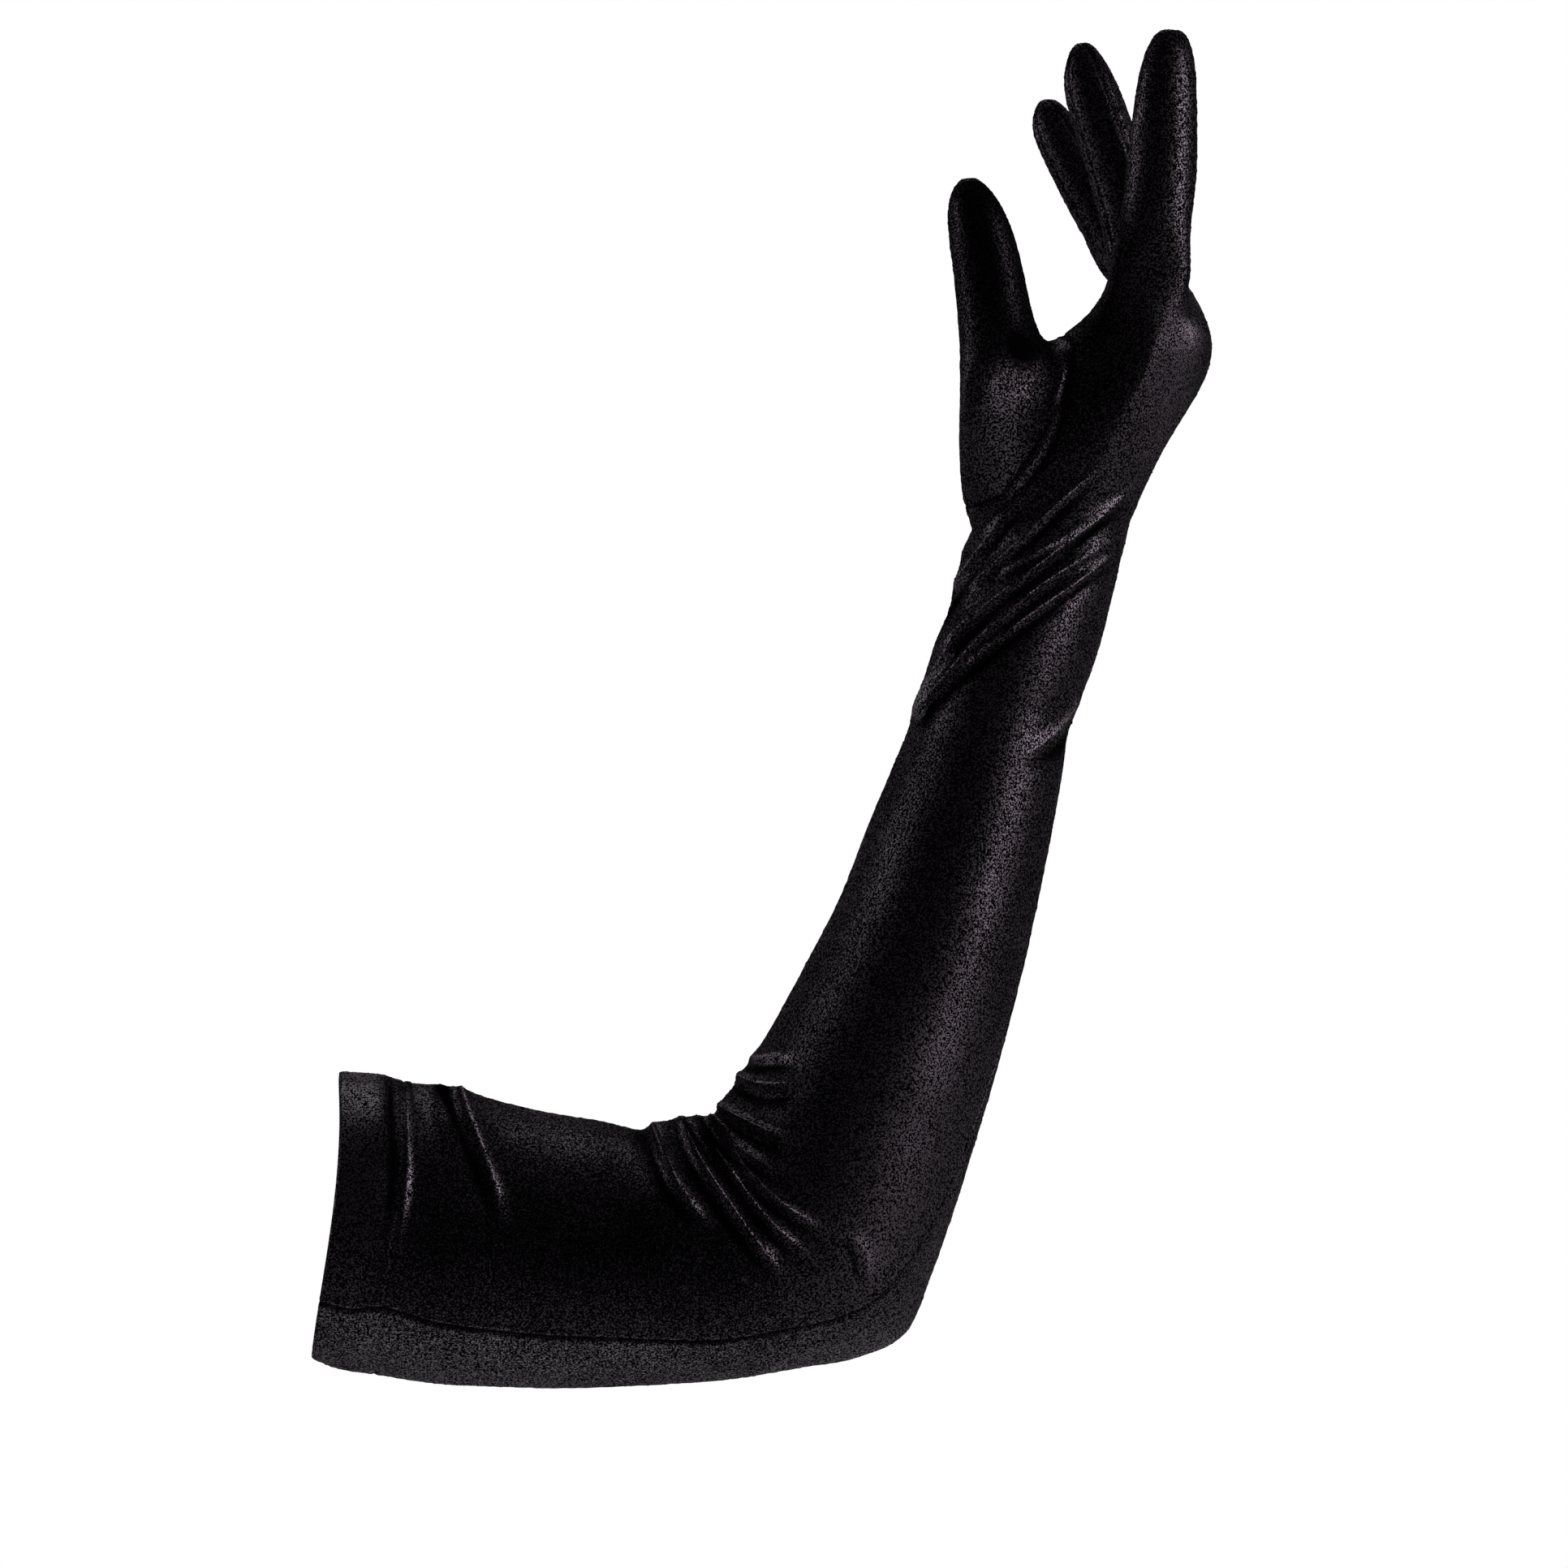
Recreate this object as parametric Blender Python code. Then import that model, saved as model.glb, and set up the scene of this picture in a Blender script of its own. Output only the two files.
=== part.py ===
# Velvet opera glove for a right hand, in the form that it has when it is worn with a bent elbow.
# X runs from the arm opening towards the elbow, Z runs up towards the fingertips, Y runs away from
# the viewer. The origin is the middle of the arm opening. Every table below is in millimetres.

import bpy
import numpy as np

MM = 0.001
WALL = 1.5
SEAM_GAP = 0.3
HAND_COLUMNS = 20
SLEEVE_SIDES = 28
# The hand is turned by this angle about Z, so that its back shows a little.
HAND_TURN = 13.0
# The palm's outline is a rounded box of this power, and all sections are this much larger than their
# points say, because subdivision draws them in.
PALM_POWER = 2.6
HAND_SWELL = 1.017

# The sleeve is a row of closed sections. Each one is given by its point on the inner side of the arm,
# its point on the outer side, its depth along Y, how far its near and far sides stand back from the
# plane through those points, and the number of rings up to the next row.
SLEEVE = np.array([
    ("cuff_edge", 3.5, 45.5, -5.5, -46.5, 88, 3.2, 1),
    ("hem_middle", 14.0, 44.5, 4.0, -50.0, 90, 3.5, 1),
    ("hem_line", 24.0, 42.5, 14.5, -51.5, 90, 3.5, 2),
    ("arm_1", 40.5, 40.0, 34.0, -54.5, 90, 2.0, 2),
    ("arm_2", 56.0, 35.5, 53.5, -55.5, 88, 0.0, 2),
    ("arm_3", 71.5, 32.0, 73.0, -56.0, 87, 0.0, 2),
    ("arm_4", 87.0, 29.5, 92.5, -55.5, 86, 0.0, 2),
    ("arm_5", 99.5, 27.0, 112.0, -54.5, 86, 0.0, 1),
    ("crook_1", 107.0, 29.5, 130.0, -53.0, 86, 0.0, 2),
    ("crook_2", 113.0, 30.5, 151.0, -49.5, 86, 0.0, 2),
    ("crook_3", 119.0, 31.0, 170.0, -46.0, 85, 0.0, 2),
    ("elbow", 123.0, 31.0, 185.0, -38.0, 85, 0.0, 2),
    ("crook_4", 125.5, 34.5, 193.5, -18.5, 84, 0.0, 2),
    ("crook_5", 128.5, 39.5, 201.0, 3.0, 84, 0.0, 2),
    ("crook_6", 133.0, 46.0, 207.5, 24.0, 83, 0.0, 2),
    ("forearm_1", 141.5, 59.0, 211.5, 37.0, 82, 0.0, 2),
    ("forearm_2", 153.0, 80.0, 217.0, 57.0, 78, 0.0, 2),
    ("forearm_3", 164.0, 101.5, 223.0, 81.0, 74, 0.0, 2),
    ("forearm_4", 173.0, 124.5, 228.0, 104.5, 69, 0.0, 2),
    ("forearm_5", 181.0, 143.5, 232.5, 126.5, 65, 0.0, 1),
    ("gather_1", 185.5, 154.5, 235.5, 144.0, 62, 0.0, 1),
    ("gather_2", 188.5, 163.5, 238.0, 158.0, 60, 0.0, 2),
    ("gather_3", 191.0, 171.5, 243.5, 171.5, 59, 0.0, 2),
    ("gather_4", 194.5, 183.0, 247.5, 183.5, 58, 0.0, 2),
    ("gather_5", 198.5, 193.5, 250.5, 195.5, 57, 0.0, 2),
    ("gather_6", 201.5, 203.5, 253.5, 208.0, 57, 0.0, 2),
    ("wrist", 203.0, 212.0, 256.5, 221.0, 58, 0.0, 0),
], dtype=[("name", "U12"), ("x_in", float), ("z_in", float), ("x_out", float), ("z_out", float),
          ("depth", float), ("bow", float), ("rings", int)])
HEM_ROW = 2
ELBOW_ROW = 11

# The hand goes on from the wrist: a section has its point on the back and its point on the palm.
# "flat" goes from 0 for an oval to 1 for the flat section of the palm, "turn" turns it by that much of
# HAND_TURN, "drop" lowers the little side, "bend" tips it towards the bent fingers, and "crowd" moves
# the palm's columns away from the ball of the thumb.
HAND = np.array([
    ("wrist", 256.5, 221.0, 203.0, 212.0, 58, 0.0, 0.0, 0.0, 0.0, 0.0),
    ("heel", 261.5, 233.0, 209.0, 227.0, 63, 0.3, 0.3, 0.0, 0.0, 0.35),
    ("palm_1", 267.5, 247.0, 233.0, 248.0, 71, 0.7, 0.7, 1.0, 0.0, 0.55),
    ("palm_2", 274.0, 261.5, 242.0, 266.0, 77, 1.0, 1.0, 3.0, 0.0, 0.6),
    ("palm_3", 279.5, 274.0, 250.0, 282.0, 80, 1.0, 1.0, 6.0, 0.0, 0.5),
    ("knuckles", 281.5, 285.0, 254.0, 293.0, 80, 1.0, 1.0, 9.0, 2.0, 0.15),
    ("roots", 274.0, 299.0, 250.0, 304.0, 79, 1.0, 1.0, 10.0, 5.0, 0.0),
], dtype=[("name", "U12"), ("x_back", float), ("z_back", float), ("x_palm", float),
          ("z_palm", float), ("breadth", float), ("flat", float), ("turn", float),
          ("drop", float), ("bend", float), ("crowd", float)])

# Places of single points of the palm round the thumb hole: row of HAND, column, then x, y, z.
# Column 0 to 8 is the back from the index side to the little side, 9 the little edge, 10 to 18
# the palm back to the index side, 19 the index edge.
THENAR = [
    (1, 18, 213.5, -27.0, 226.5),
    (1, 17, 202.0, -17.0, 223.0),
    (1, 16, 202.0, -7.0, 225.0),
    (2, 16, 212.0, 4.0, 246.0),
    (3, 16, 224.0, 6.0, 262.0),
    (4, 16, 236.0, 2.0, 277.0),
    (4, 17, 232.5, -10.0, 280.5),
    (4, 18, 235.5, -22.0, 277.0),
    (3, 18, 234.0, -31.0, 261.0),
    (2, 18, 228.0, -33.0, 245.5),
    (1, 19, 238.0, -31.0, 230.0),
    (2, 19, 248.0, -37.0, 246.0),
    (3, 19, 257.0, -40.0, 262.0),
    (4, 19, 262.0, -40.0, 277.0),
    (5, 18, 248.5, -32.0, 289.0),
    (5, 17, 247.5, -22.0, 291.0),
    (5, 16, 249.0, -12.0, 292.0),
    (6, 18, 251.0, -38.0, 303.0),
    (6, 17, 250.0, -31.0, 304.0),
    (6, 16, 250.5, -21.0, 303.5),
    (6, 0, 276.0, -37.0, 299.0),
    (6, 1, 277.5, -30.0, 299.5),
]

# Rings of the digits: the point on the palm side, the point on the back, y, and the breadth.
DIGIT_RINGS = np.array([
    ("index_finger", 252.0, 313.0, 275.0, 312.5, -33.5, 17.0),
    ("index_finger", 254.5, 331.5, 278.0, 331.5, -33.0, 18.5),
    ("index_finger", 256.5, 349.5, 277.5, 349.5, -33.5, 17.5),
    ("index_finger", 258.5, 365.0, 277.5, 365.0, -34.0, 16.0),
    ("index_finger", 263.5, 378.0, 274.5, 378.0, -34.0, 9.5),
    ("middle_finger", 248.5, 310.5, 268.5, 316.0, -11.5, 16.5),
    ("middle_finger", 243.5, 330.5, 262.0, 336.0, -11.5, 17.5),
    ("middle_finger", 238.0, 348.0, 256.0, 353.0, -12.0, 17.0),
    ("middle_finger", 234.0, 362.0, 250.5, 366.5, -12.0, 15.5),
    ("middle_finger", 236.0, 373.0, 245.5, 375.0, -12.0, 9.5),
    ("ring_finger", 245.5, 306.5, 262.5, 314.0, 10.5, 15.5),
    ("ring_finger", 236.0, 323.5, 252.0, 331.0, 11.0, 16.5),
    ("ring_finger", 229.0, 338.0, 243.5, 345.0, 11.5, 16.0),
    ("ring_finger", 224.5, 348.0, 238.5, 353.0, 12.0, 14.5),
    ("ring_finger", 226.0, 356.0, 234.0, 357.5, 12.0, 8.5),
    ("little_finger", 248.5, 300.0, 263.5, 306.0, 31.5, 14.0),
    ("little_finger", 243.5, 311.0, 257.0, 317.0, 31.0, 14.5),
    ("little_finger", 239.5, 321.0, 251.5, 327.0, 32.0, 14.0),
    ("little_finger", 236.5, 329.0, 247.0, 334.0, 33.0, 12.5),
    ("little_finger", 237.0, 334.5, 243.0, 337.0, 33.0, 7.5),
    ("thumb", 201.0, 246.0, 228.5, 278.0, -22.0, 33.0),
    ("thumb", 202.5, 273.0, 224.5, 289.0, -28.0, 27.0),
    ("thumb", 199.5, 303.0, 221.0, 308.0, -32.0, 22.5),
    ("thumb", 196.5, 320.5, 215.5, 322.5, -34.0, 18.5),
    ("thumb", 199.5, 329.5, 209.5, 330.0, -35.0, 10.0),
], dtype=[("digit", "U14"), ("x_palm", float), ("z_palm", float), ("x_back", float),
          ("z_back", float), ("y", float), ("breadth", float)])
FINGERS = ("index_finger", "middle_finger", "ring_finger", "little_finger")
WEB_DROP = 0.5
DIGIT_SWELL = 1.06
THUMB_SWELL = 1.05

# Folds of the cloth: the two ends and the middle of each crest as seen from the front, its height,
# its half width, and 1 where the fold goes on round the far side.
FOLDS = np.array([
    ("hem_stitch", 24.0, 45.0, 25.0, 14.0, 14.5, -28.0, 1.1, 3.0, 1),
    ("cuff_fold", 40.0, 45.0, 49.0, 22.0, 57.5, 1.0, 2.2, 4.0, 0),
    ("crook_a", 102.5, 31.0, 112.0, 11.5, 120.5, 0.0, 1.8, 2.6, 1),
    ("crook_b", 111.5, 33.0, 128.5, 4.0, 146.0, -18.0, 2.5, 2.6, 1),
    ("crook_c", 117.0, 33.0, 135.0, 6.5, 153.5, -11.0, 2.2, 2.4, 1),
    ("crook_d", 121.0, 33.0, 138.5, 10.5, 157.0, -3.5, 2.2, 2.4, 1),
    ("crook_e", 121.5, 32.0, 134.0, 20.0, 146.0, 14.5, 1.8, 2.2, 1),
    ("crook_f", 123.5, 36.0, 138.0, 28.5, 151.0, 25.5, 2.2, 2.6, 1),
    ("crook_g", 128.0, 45.0, 141.5, 42.0, 152.5, 43.0, 1.8, 2.6, 1),
    ("wrist_1", 193.5, 190.0, 206.0, 209.5, 223.0, 230.0, 1.4, 2.2, 0),
    ("wrist_2", 206.5, 202.5, 224.0, 218.0, 245.0, 238.0, 1.5, 2.2, 0),
    ("wrist_3", 197.0, 183.5, 217.0, 199.0, 258.5, 233.5, 1.9, 2.4, 1),
    ("wrist_4", 190.0, 162.5, 212.0, 187.5, 249.0, 214.5, 1.9, 2.4, 1),
    ("wrist_5", 201.5, 173.0, 229.5, 195.5, 252.5, 212.0, 1.4, 2.2, 1),
], dtype=[("name", "U12"), ("x0", float), ("z0", float), ("x1", float), ("z1", float),
          ("x2", float), ("z2", float), ("height", float), ("width", float), ("both", int)])
# The valley beside a crest: its depth beside the crest's height, and how many half widths away it is.
VALLEY_DEPTH = 0.45
VALLEY_STEP = 2.2
# A fold that goes on round the far side has this part of its height there.
FAR_SIDE = 0.8


def through_rows(values, at):
    """A smooth curve through the rows of values, read at the row numbers in at."""
    values = np.asarray(values, float)
    last = len(values) - 1
    row = np.clip(np.floor(at).astype(int), 0, last - 1)
    part = (np.asarray(at, float) - row)[:, None]
    slope = np.gradient(values, axis=0)
    low, high = values[row], values[row + 1]
    return (low * (1 + 2 * part) * (1 - part) ** 2 + high * part ** 2 * (3 - 2 * part)
            + slope[row] * part * (1 - part) ** 2 - slope[row + 1] * part ** 2 * (1 - part))


def sleeve_rings(at, sides):
    """Rings of the sleeve at the row numbers in at: an oval between the inner and the outer point."""
    names = ("x_in", "z_in", "x_out", "z_out", "depth", "bow")
    columns = np.column_stack([SLEEVE[name] for name in names])
    x_in, z_in, x_out, z_out, depth, bow = through_rows(columns, at).T[:, :, None]
    turn = np.linspace(-np.pi / 2, 1.5 * np.pi, sides, endpoint=False)
    outwards = np.cos(turn)
    back = bow * np.sin(turn) ** 2 * (1 - 0.5 * outwards)
    return np.stack([(x_in + x_out) / 2 + (x_out - x_in) / 2 * outwards + back,
                     depth / 2 * np.sin(turn) * np.ones_like(x_in),
                     (z_in + z_out) / 2 + (z_out - z_in) / 2 * outwards], axis=2)


def grid_quads(rows, sides, first=0):
    """Faces of rows of closed rings whose points are numbered from first."""
    here = first + np.arange(rows - 1)[:, None] * sides + np.arange(sides)
    beside = first + np.arange(rows - 1)[:, None] * sides + (np.arange(sides) + 1) % sides
    return np.stack([here, beside, beside + sides, here + sides], axis=2).reshape(-1, 4)


def hand_section(row):
    """The twenty points of one section of the hand: an oval that flattens to the palm's shape."""
    angle = np.radians(-72 + 18 * np.arange(HAND_COLUMNS))
    oval = np.column_stack([np.sin(angle), np.cos(angle)])
    across = np.array([-0.9, -0.72, -0.5, -0.25, 0, 0.25, 0.5, 0.72, 0.9])
    rise = (1 - np.abs(across) ** PALM_POWER) ** (1 / PALM_POWER)
    palm = np.vstack([np.column_stack([across, rise]), [[1, 0]],
                      np.column_stack([across[::-1], -rise[::-1]]), [[-1, 0]]])
    side, face = (HAND_SWELL * (oval + (palm - oval) * row["flat"])).T
    side[10:16] += row["crowd"] * (across[8] - side[10:16]) / (across[8] - across[3])
    turn = np.radians(HAND_TURN) * row["turn"]
    back = np.array([row["x_back"], 0, row["z_back"]])
    front = np.array([row["x_palm"], 0, row["z_palm"]])
    middle, reach = (back + front) / 2, (back - front) / 2
    width = row["breadth"] / 2
    beside = np.array([np.sin(turn) * width, np.cos(turn) * width, 0])
    points = middle + face[:, None] * reach + side[:, None] * beside
    points[:, 1] -= face * np.sin(turn) * np.linalg.norm(reach)
    bend = row["bend"] * np.clip(side + 0.2, 0, 1)
    points[:, 0] -= 0.4 * bend * (face + 1)
    points[:, 2] += bend * face - row["drop"] * np.clip(side, 0, 1) ** 1.5
    return points


def digit_rings(name, angles, swell, turn):
    """Rings of one digit, whose points stand at the given angles from its breadth towards its back."""
    rows = DIGIT_RINGS[DIGIT_RINGS["digit"] == name]
    rings = []
    for row in rows:
        back = np.array([row["x_back"], row["y"], row["z_back"]])
        palm = np.array([row["x_palm"], row["y"], row["z_palm"]])
        reach = (back - palm) / 2
        reach[1] = -np.sin(turn) * np.linalg.norm(reach)
        beside = np.array([np.sin(turn), np.cos(turn), 0]) * row["breadth"] / 2
        around = np.sin(angles)[:, None] * reach + np.cos(angles)[:, None] * beside
        rings.append((back + palm) / 2 + swell * around)
    return np.array(rings)


def hand_cage():
    """Coarse mesh of the hand with its digits, and the name of the piece of each face."""
    rows = np.array([hand_section(row) for row in HAND])
    for row, column, x, y, z in THENAR:
        rows[row, column] = x, y, z
    points = list(rows.reshape(-1, 3))
    count = HAND_COLUMNS
    faces, tags = [], []
    hole = {(row, column) for row in (1, 2, 3) for column in (16, 17)}
    for row in range(len(HAND) - 1):
        for column in range(count):
            if (row, column) in hole:
                continue
            here, beside = row * count + column, row * count + (column + 1) % count
            faces.append((here, beside, beside + count, here + count))
            tags.append("hand")
    end = (len(HAND) - 1) * count
    webs = {0: end + 19, 4: end + 9}
    for number in (1, 2, 3):
        back, palm = points[end + 2 * number], points[end + 18 - 2 * number]
        webs[number] = len(points)
        points.append((back + palm) / 2 - np.array([0, 0, WEB_DROP]))
    octagon = np.radians([135, 90, 45, 0, -45, -90, -135, 180])
    for number, name in enumerate(FINGERS):
        first = 2 * number
        root = [end + first, end + first + 1, end + first + 2, webs[number + 1],
                end + 16 - first, end + 17 - first, end + 18 - first, webs[number]]
        rings = digit_rings(name, octagon, DIGIT_SWELL, np.radians(HAND_TURN))
        add_tube(points, faces, tags, root, rings, name)
    seam = [(1, 17), (1, 18), (2, 18), (3, 18), (4, 18), (4, 17), (4, 16), (3, 16), (2, 16), (1, 16)]
    root = [row * count + column for row, column in seam]
    angles = np.radians(-90 - 36 * np.arange(10))
    add_tube(points, faces, tags, root, digit_rings("thumb", angles, THUMB_SWELL, 0.0), "thumb")
    used, faces = np.unique(np.array(faces), return_inverse=True)
    return np.array(points)[used], faces.reshape(-1, 4), np.array(tags)


def add_tube(points, faces, tags, root, rings, name):
    """A tube of rings on the loop of point numbers in root, closed at its end by a strip of faces."""
    sides = len(root)
    loop = list(root)
    for ring in rings:
        first = len(points)
        points.extend(ring)
        upper = list(range(first, first + sides))
        for side in range(sides):
            after = (side + 1) % sides
            faces.append((loop[side], loop[after], upper[after], upper[side]))
            tags.append(name)
        loop = upper
    for step in range(sides // 2 - 1):
        faces.append((loop[step - 1], loop[step], loop[sides - 3 - step], loop[sides - 2 - step]))
        tags.append(name)


def face_edges(faces):
    """Both ends of every edge of every face, and the number of each edge among the different ones."""
    ends = np.stack([faces, np.roll(faces, -1, axis=1)], axis=2).reshape(-1, 2)
    edges, number = np.unique(np.sort(ends, axis=1), axis=0, return_inverse=True)
    return ends, edges, number.reshape(-1)


def subdivide(points, faces, tags):
    """One step of Catmull-Clark subdivision; an open border becomes a smooth curve of its own."""
    ends, edges, number = face_edges(faces)
    face_points = points[faces].mean(axis=1)
    uses = np.bincount(number, minlength=len(edges))
    near = np.zeros((len(edges), 3))
    np.add.at(near, number, np.repeat(face_points, 4, axis=0))
    middle = points[edges].mean(axis=1)
    border = uses == 1
    edge_points = np.where(border[:, None], middle, (2 * middle + near) / 4)
    around = np.zeros((len(points), 3))
    np.add.at(around, faces.reshape(-1), np.repeat(face_points, 4, axis=0))
    valence = np.bincount(faces.reshape(-1), minlength=len(points))[:, None]
    spokes = np.zeros((len(points), 3))
    np.add.at(spokes, edges.reshape(-1), np.repeat(middle, 2, axis=0))
    inner = (around / valence + 2 * spokes / valence + (valence - 3) * points) / valence
    rim = np.zeros((len(points), 3))
    np.add.at(rim, edges[border].reshape(-1), points[edges[border][:, ::-1]].reshape(-1, 3))
    on_rim = np.isin(np.arange(len(points)), edges[border])
    moved = np.where(on_rim[:, None], 0.75 * points + rim / 8, inner)
    first_edge, first_face = len(points), len(points) + len(edges)
    by_face = number.reshape(-1, 4) + first_edge
    centre = np.arange(len(faces)) + first_face
    quads = [np.column_stack([faces[:, k], by_face[:, k], centre, by_face[:, k - 1]])
             for k in range(4)]
    quads = np.stack(quads, axis=1).reshape(-1, 4)
    return np.vstack([moved, edge_points, face_points]), quads, np.repeat(tags, 4)


def normals_of(points, faces):
    """Smooth unit normals of the points."""
    corners = points[faces]
    flat = np.cross(corners[:, 2] - corners[:, 0], corners[:, 3] - corners[:, 1])
    normals = np.zeros_like(points)
    np.add.at(normals, faces.reshape(-1), np.repeat(flat, 4, axis=0))
    return normals / np.maximum(np.linalg.norm(normals, axis=1, keepdims=True), 1e-9)


def fold_height(points, normals):
    """How far each point stands out or in for the folds: a round crest with a valley on one side."""
    total = np.zeros(len(points))
    seen = np.clip((0.35 - normals[:, 1]) / 0.5, 0, 1)
    for fold in FOLDS:
        start = np.array([fold["x0"], fold["z0"]])
        middle = np.array([fold["x1"], fold["z1"]])
        end = np.array([fold["x2"], fold["z2"]])
        place = points[:, [0, 2]] - start
        along = (end - start) / np.linalg.norm(end - start)
        length = np.linalg.norm(end - start)
        left = np.array([-along[1], along[0]])
        part = place @ along / length
        bend = (middle - start) @ left * 4
        offset = place @ left - bend * part * (1 - part)
        width = fold["width"]
        crest = np.exp(-(offset / width) ** 2)
        valley = VALLEY_DEPTH * np.exp(-(offset / width + VALLEY_STEP) ** 2)
        fade = np.clip((part + 0.06) / 0.12, 0, 1) * np.clip((1.12 - part) / 0.3, 0, 1)
        side = np.maximum(seen, FAR_SIDE * fold["both"])
        total += fold["height"] * (crest - valley) * fade * side
    return total


def border_shift(points, faces, normals):
    """Half the seam gap, towards the inside of the piece, for each point of its open borders."""
    ends, edges, number = face_edges(faces)
    border = (np.bincount(number, minlength=len(edges)) == 1)[number]
    shift = np.zeros_like(points)
    along = np.zeros_like(points)
    start, stop = ends[border].T
    step = points[stop] - points[start]
    np.add.at(along, start, step)
    np.add.at(along, stop, step)
    inwards = np.cross(normals, along)
    length = np.linalg.norm(inwards, axis=1)
    rim = length > 1e-9
    shift[rim] = inwards[rim] / length[rim][:, None] * SEAM_GAP / 2
    return shift, ends[border]


def add_piece(name, points, normals, faces, level=None):
    """A closed solid: the faces, the same faces one wall thickness further in, and the rims."""
    used, faces = np.unique(faces, return_inverse=True)
    faces = faces.reshape(-1, 4)
    points, normals = points[used], normals[used]
    shift, rims = border_shift(points, faces, normals)
    outer = points + shift
    inner = outer - WALL * normals
    if level is not None:
        centre, direction, rim_points = level
        on_end = np.isin(used, rim_points)
        for layer in (outer, inner):
            away = (layer[on_end] - centre) @ direction - SEAM_GAP / 2
            layer[on_end] -= away[:, None] * direction
    count = len(points)
    bands = np.column_stack([rims[:, 1], rims[:, 0], rims[:, 0] + count, rims[:, 1] + count])
    every = np.vstack([faces, faces[:, ::-1] + count, bands])
    mesh = bpy.data.meshes.new(name)
    mesh.from_pydata((np.vstack([outer, inner]) * MM).tolist(), [], every.tolist())
    mesh.validate()
    mesh.update()
    solid = bpy.data.objects.new(name, mesh)
    bpy.context.scene.collection.objects.link(solid)
    cloth = bpy.data.materials.new(name + "_velvet")
    cloth.use_nodes = True
    shader = cloth.node_tree.nodes["Principled BSDF"]
    shader.inputs["Base Color"].default_value = (0.012, 0.010, 0.014, 1)
    shader.inputs["Roughness"].default_value = 0.9
    shader.inputs["Sheen Weight"].default_value = 0.6
    mesh.materials.append(cloth)
    return solid


def build():
    for old in list(bpy.data.objects):
        bpy.data.objects.remove(old, do_unlink=True)

    # The sleeve, cut into the hem, the upper arm and the forearm.
    steps = [row + np.arange(count) / count for row, count in enumerate(SLEEVE["rings"]) if count]
    at = np.concatenate(steps + [[len(SLEEVE) - 1]])
    rings = sleeve_rings(at, SLEEVE_SIDES)
    points, faces = rings.reshape(-1, 3), grid_quads(len(at), SLEEVE_SIDES)
    normals = normals_of(points, faces)
    points = points + normals * fold_height(points, normals)[:, None]
    normals = normals_of(points, faces)
    wrist = SLEEVE[-1]
    inner = np.array([wrist["x_in"], 0, wrist["z_in"]])
    outer = np.array([wrist["x_out"], 0, wrist["z_out"]])
    upwards = np.cross(outer - inner, [0, 1, 0])
    upwards /= np.linalg.norm(upwards)
    last = np.arange(len(points) - SLEEVE_SIDES, len(points))
    row_of_face = np.repeat(at[:-1], SLEEVE_SIDES)
    add_piece("cuff_hem", points, normals, faces[row_of_face < HEM_ROW])
    middle = (row_of_face >= HEM_ROW) & (row_of_face < ELBOW_ROW)
    add_piece("upper_sleeve", points, normals, faces[middle])
    add_piece("forearm_sleeve", points, normals, faces[row_of_face >= ELBOW_ROW],
              (inner, -upwards, last))

    # The hand with its five digits.
    cage, cage_faces, cage_tags = hand_cage()
    points, faces, tags = subdivide(cage, cage_faces, cage_tags)
    normals = normals_of(points, faces)
    points = points + normals * fold_height(points, normals)[:, None]
    normals = normals_of(points, faces)
    _, edges, number = face_edges(faces)
    first = np.unique(edges[np.bincount(number, minlength=len(edges)) == 1])
    for name in ("hand", "thumb") + FINGERS:
        level = (inner, upwards, first) if name == "hand" else None
        add_piece(name, points, normals, faces[tags == name], level)


build()
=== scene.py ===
# %% [markdown]
# # A velvet opera glove
# The glove is one long sleeve of black stretch velvet that ends in a hand. It keeps its worn form, so
# the cloth is smooth where it is stretched and gathers in the crook of the elbow and at the wrist.
# The plain solids come first. They give the size and the place of everything, and each one is then
# replaced by finer cloth of the same form.

# %% Load the frame
import bpy
import numpy as np
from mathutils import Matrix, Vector


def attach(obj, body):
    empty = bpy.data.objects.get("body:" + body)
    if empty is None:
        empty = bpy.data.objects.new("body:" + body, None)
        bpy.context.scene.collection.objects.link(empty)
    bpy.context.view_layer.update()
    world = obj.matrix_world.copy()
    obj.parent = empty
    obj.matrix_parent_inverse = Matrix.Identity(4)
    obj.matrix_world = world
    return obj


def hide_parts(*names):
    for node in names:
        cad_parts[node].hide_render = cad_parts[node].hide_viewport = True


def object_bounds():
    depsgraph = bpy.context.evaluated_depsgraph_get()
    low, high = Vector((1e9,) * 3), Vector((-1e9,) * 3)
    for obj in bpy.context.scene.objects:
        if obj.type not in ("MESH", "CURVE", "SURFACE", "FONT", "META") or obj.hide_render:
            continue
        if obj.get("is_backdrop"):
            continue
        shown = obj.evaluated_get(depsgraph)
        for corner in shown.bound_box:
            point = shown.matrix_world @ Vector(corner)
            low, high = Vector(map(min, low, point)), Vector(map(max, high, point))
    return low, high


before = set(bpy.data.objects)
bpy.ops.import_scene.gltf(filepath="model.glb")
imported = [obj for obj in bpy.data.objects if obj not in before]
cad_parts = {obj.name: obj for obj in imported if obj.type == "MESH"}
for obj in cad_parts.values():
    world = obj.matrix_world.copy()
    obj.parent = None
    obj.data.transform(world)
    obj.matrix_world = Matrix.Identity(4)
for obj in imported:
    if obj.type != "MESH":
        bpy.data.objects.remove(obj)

MM = 0.001
cad_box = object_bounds()
print("solids:", ", ".join(sorted(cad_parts)))
print("size in mm:", [round((high - low) / MM, 1) for low, high in zip(*cad_box)])

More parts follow.
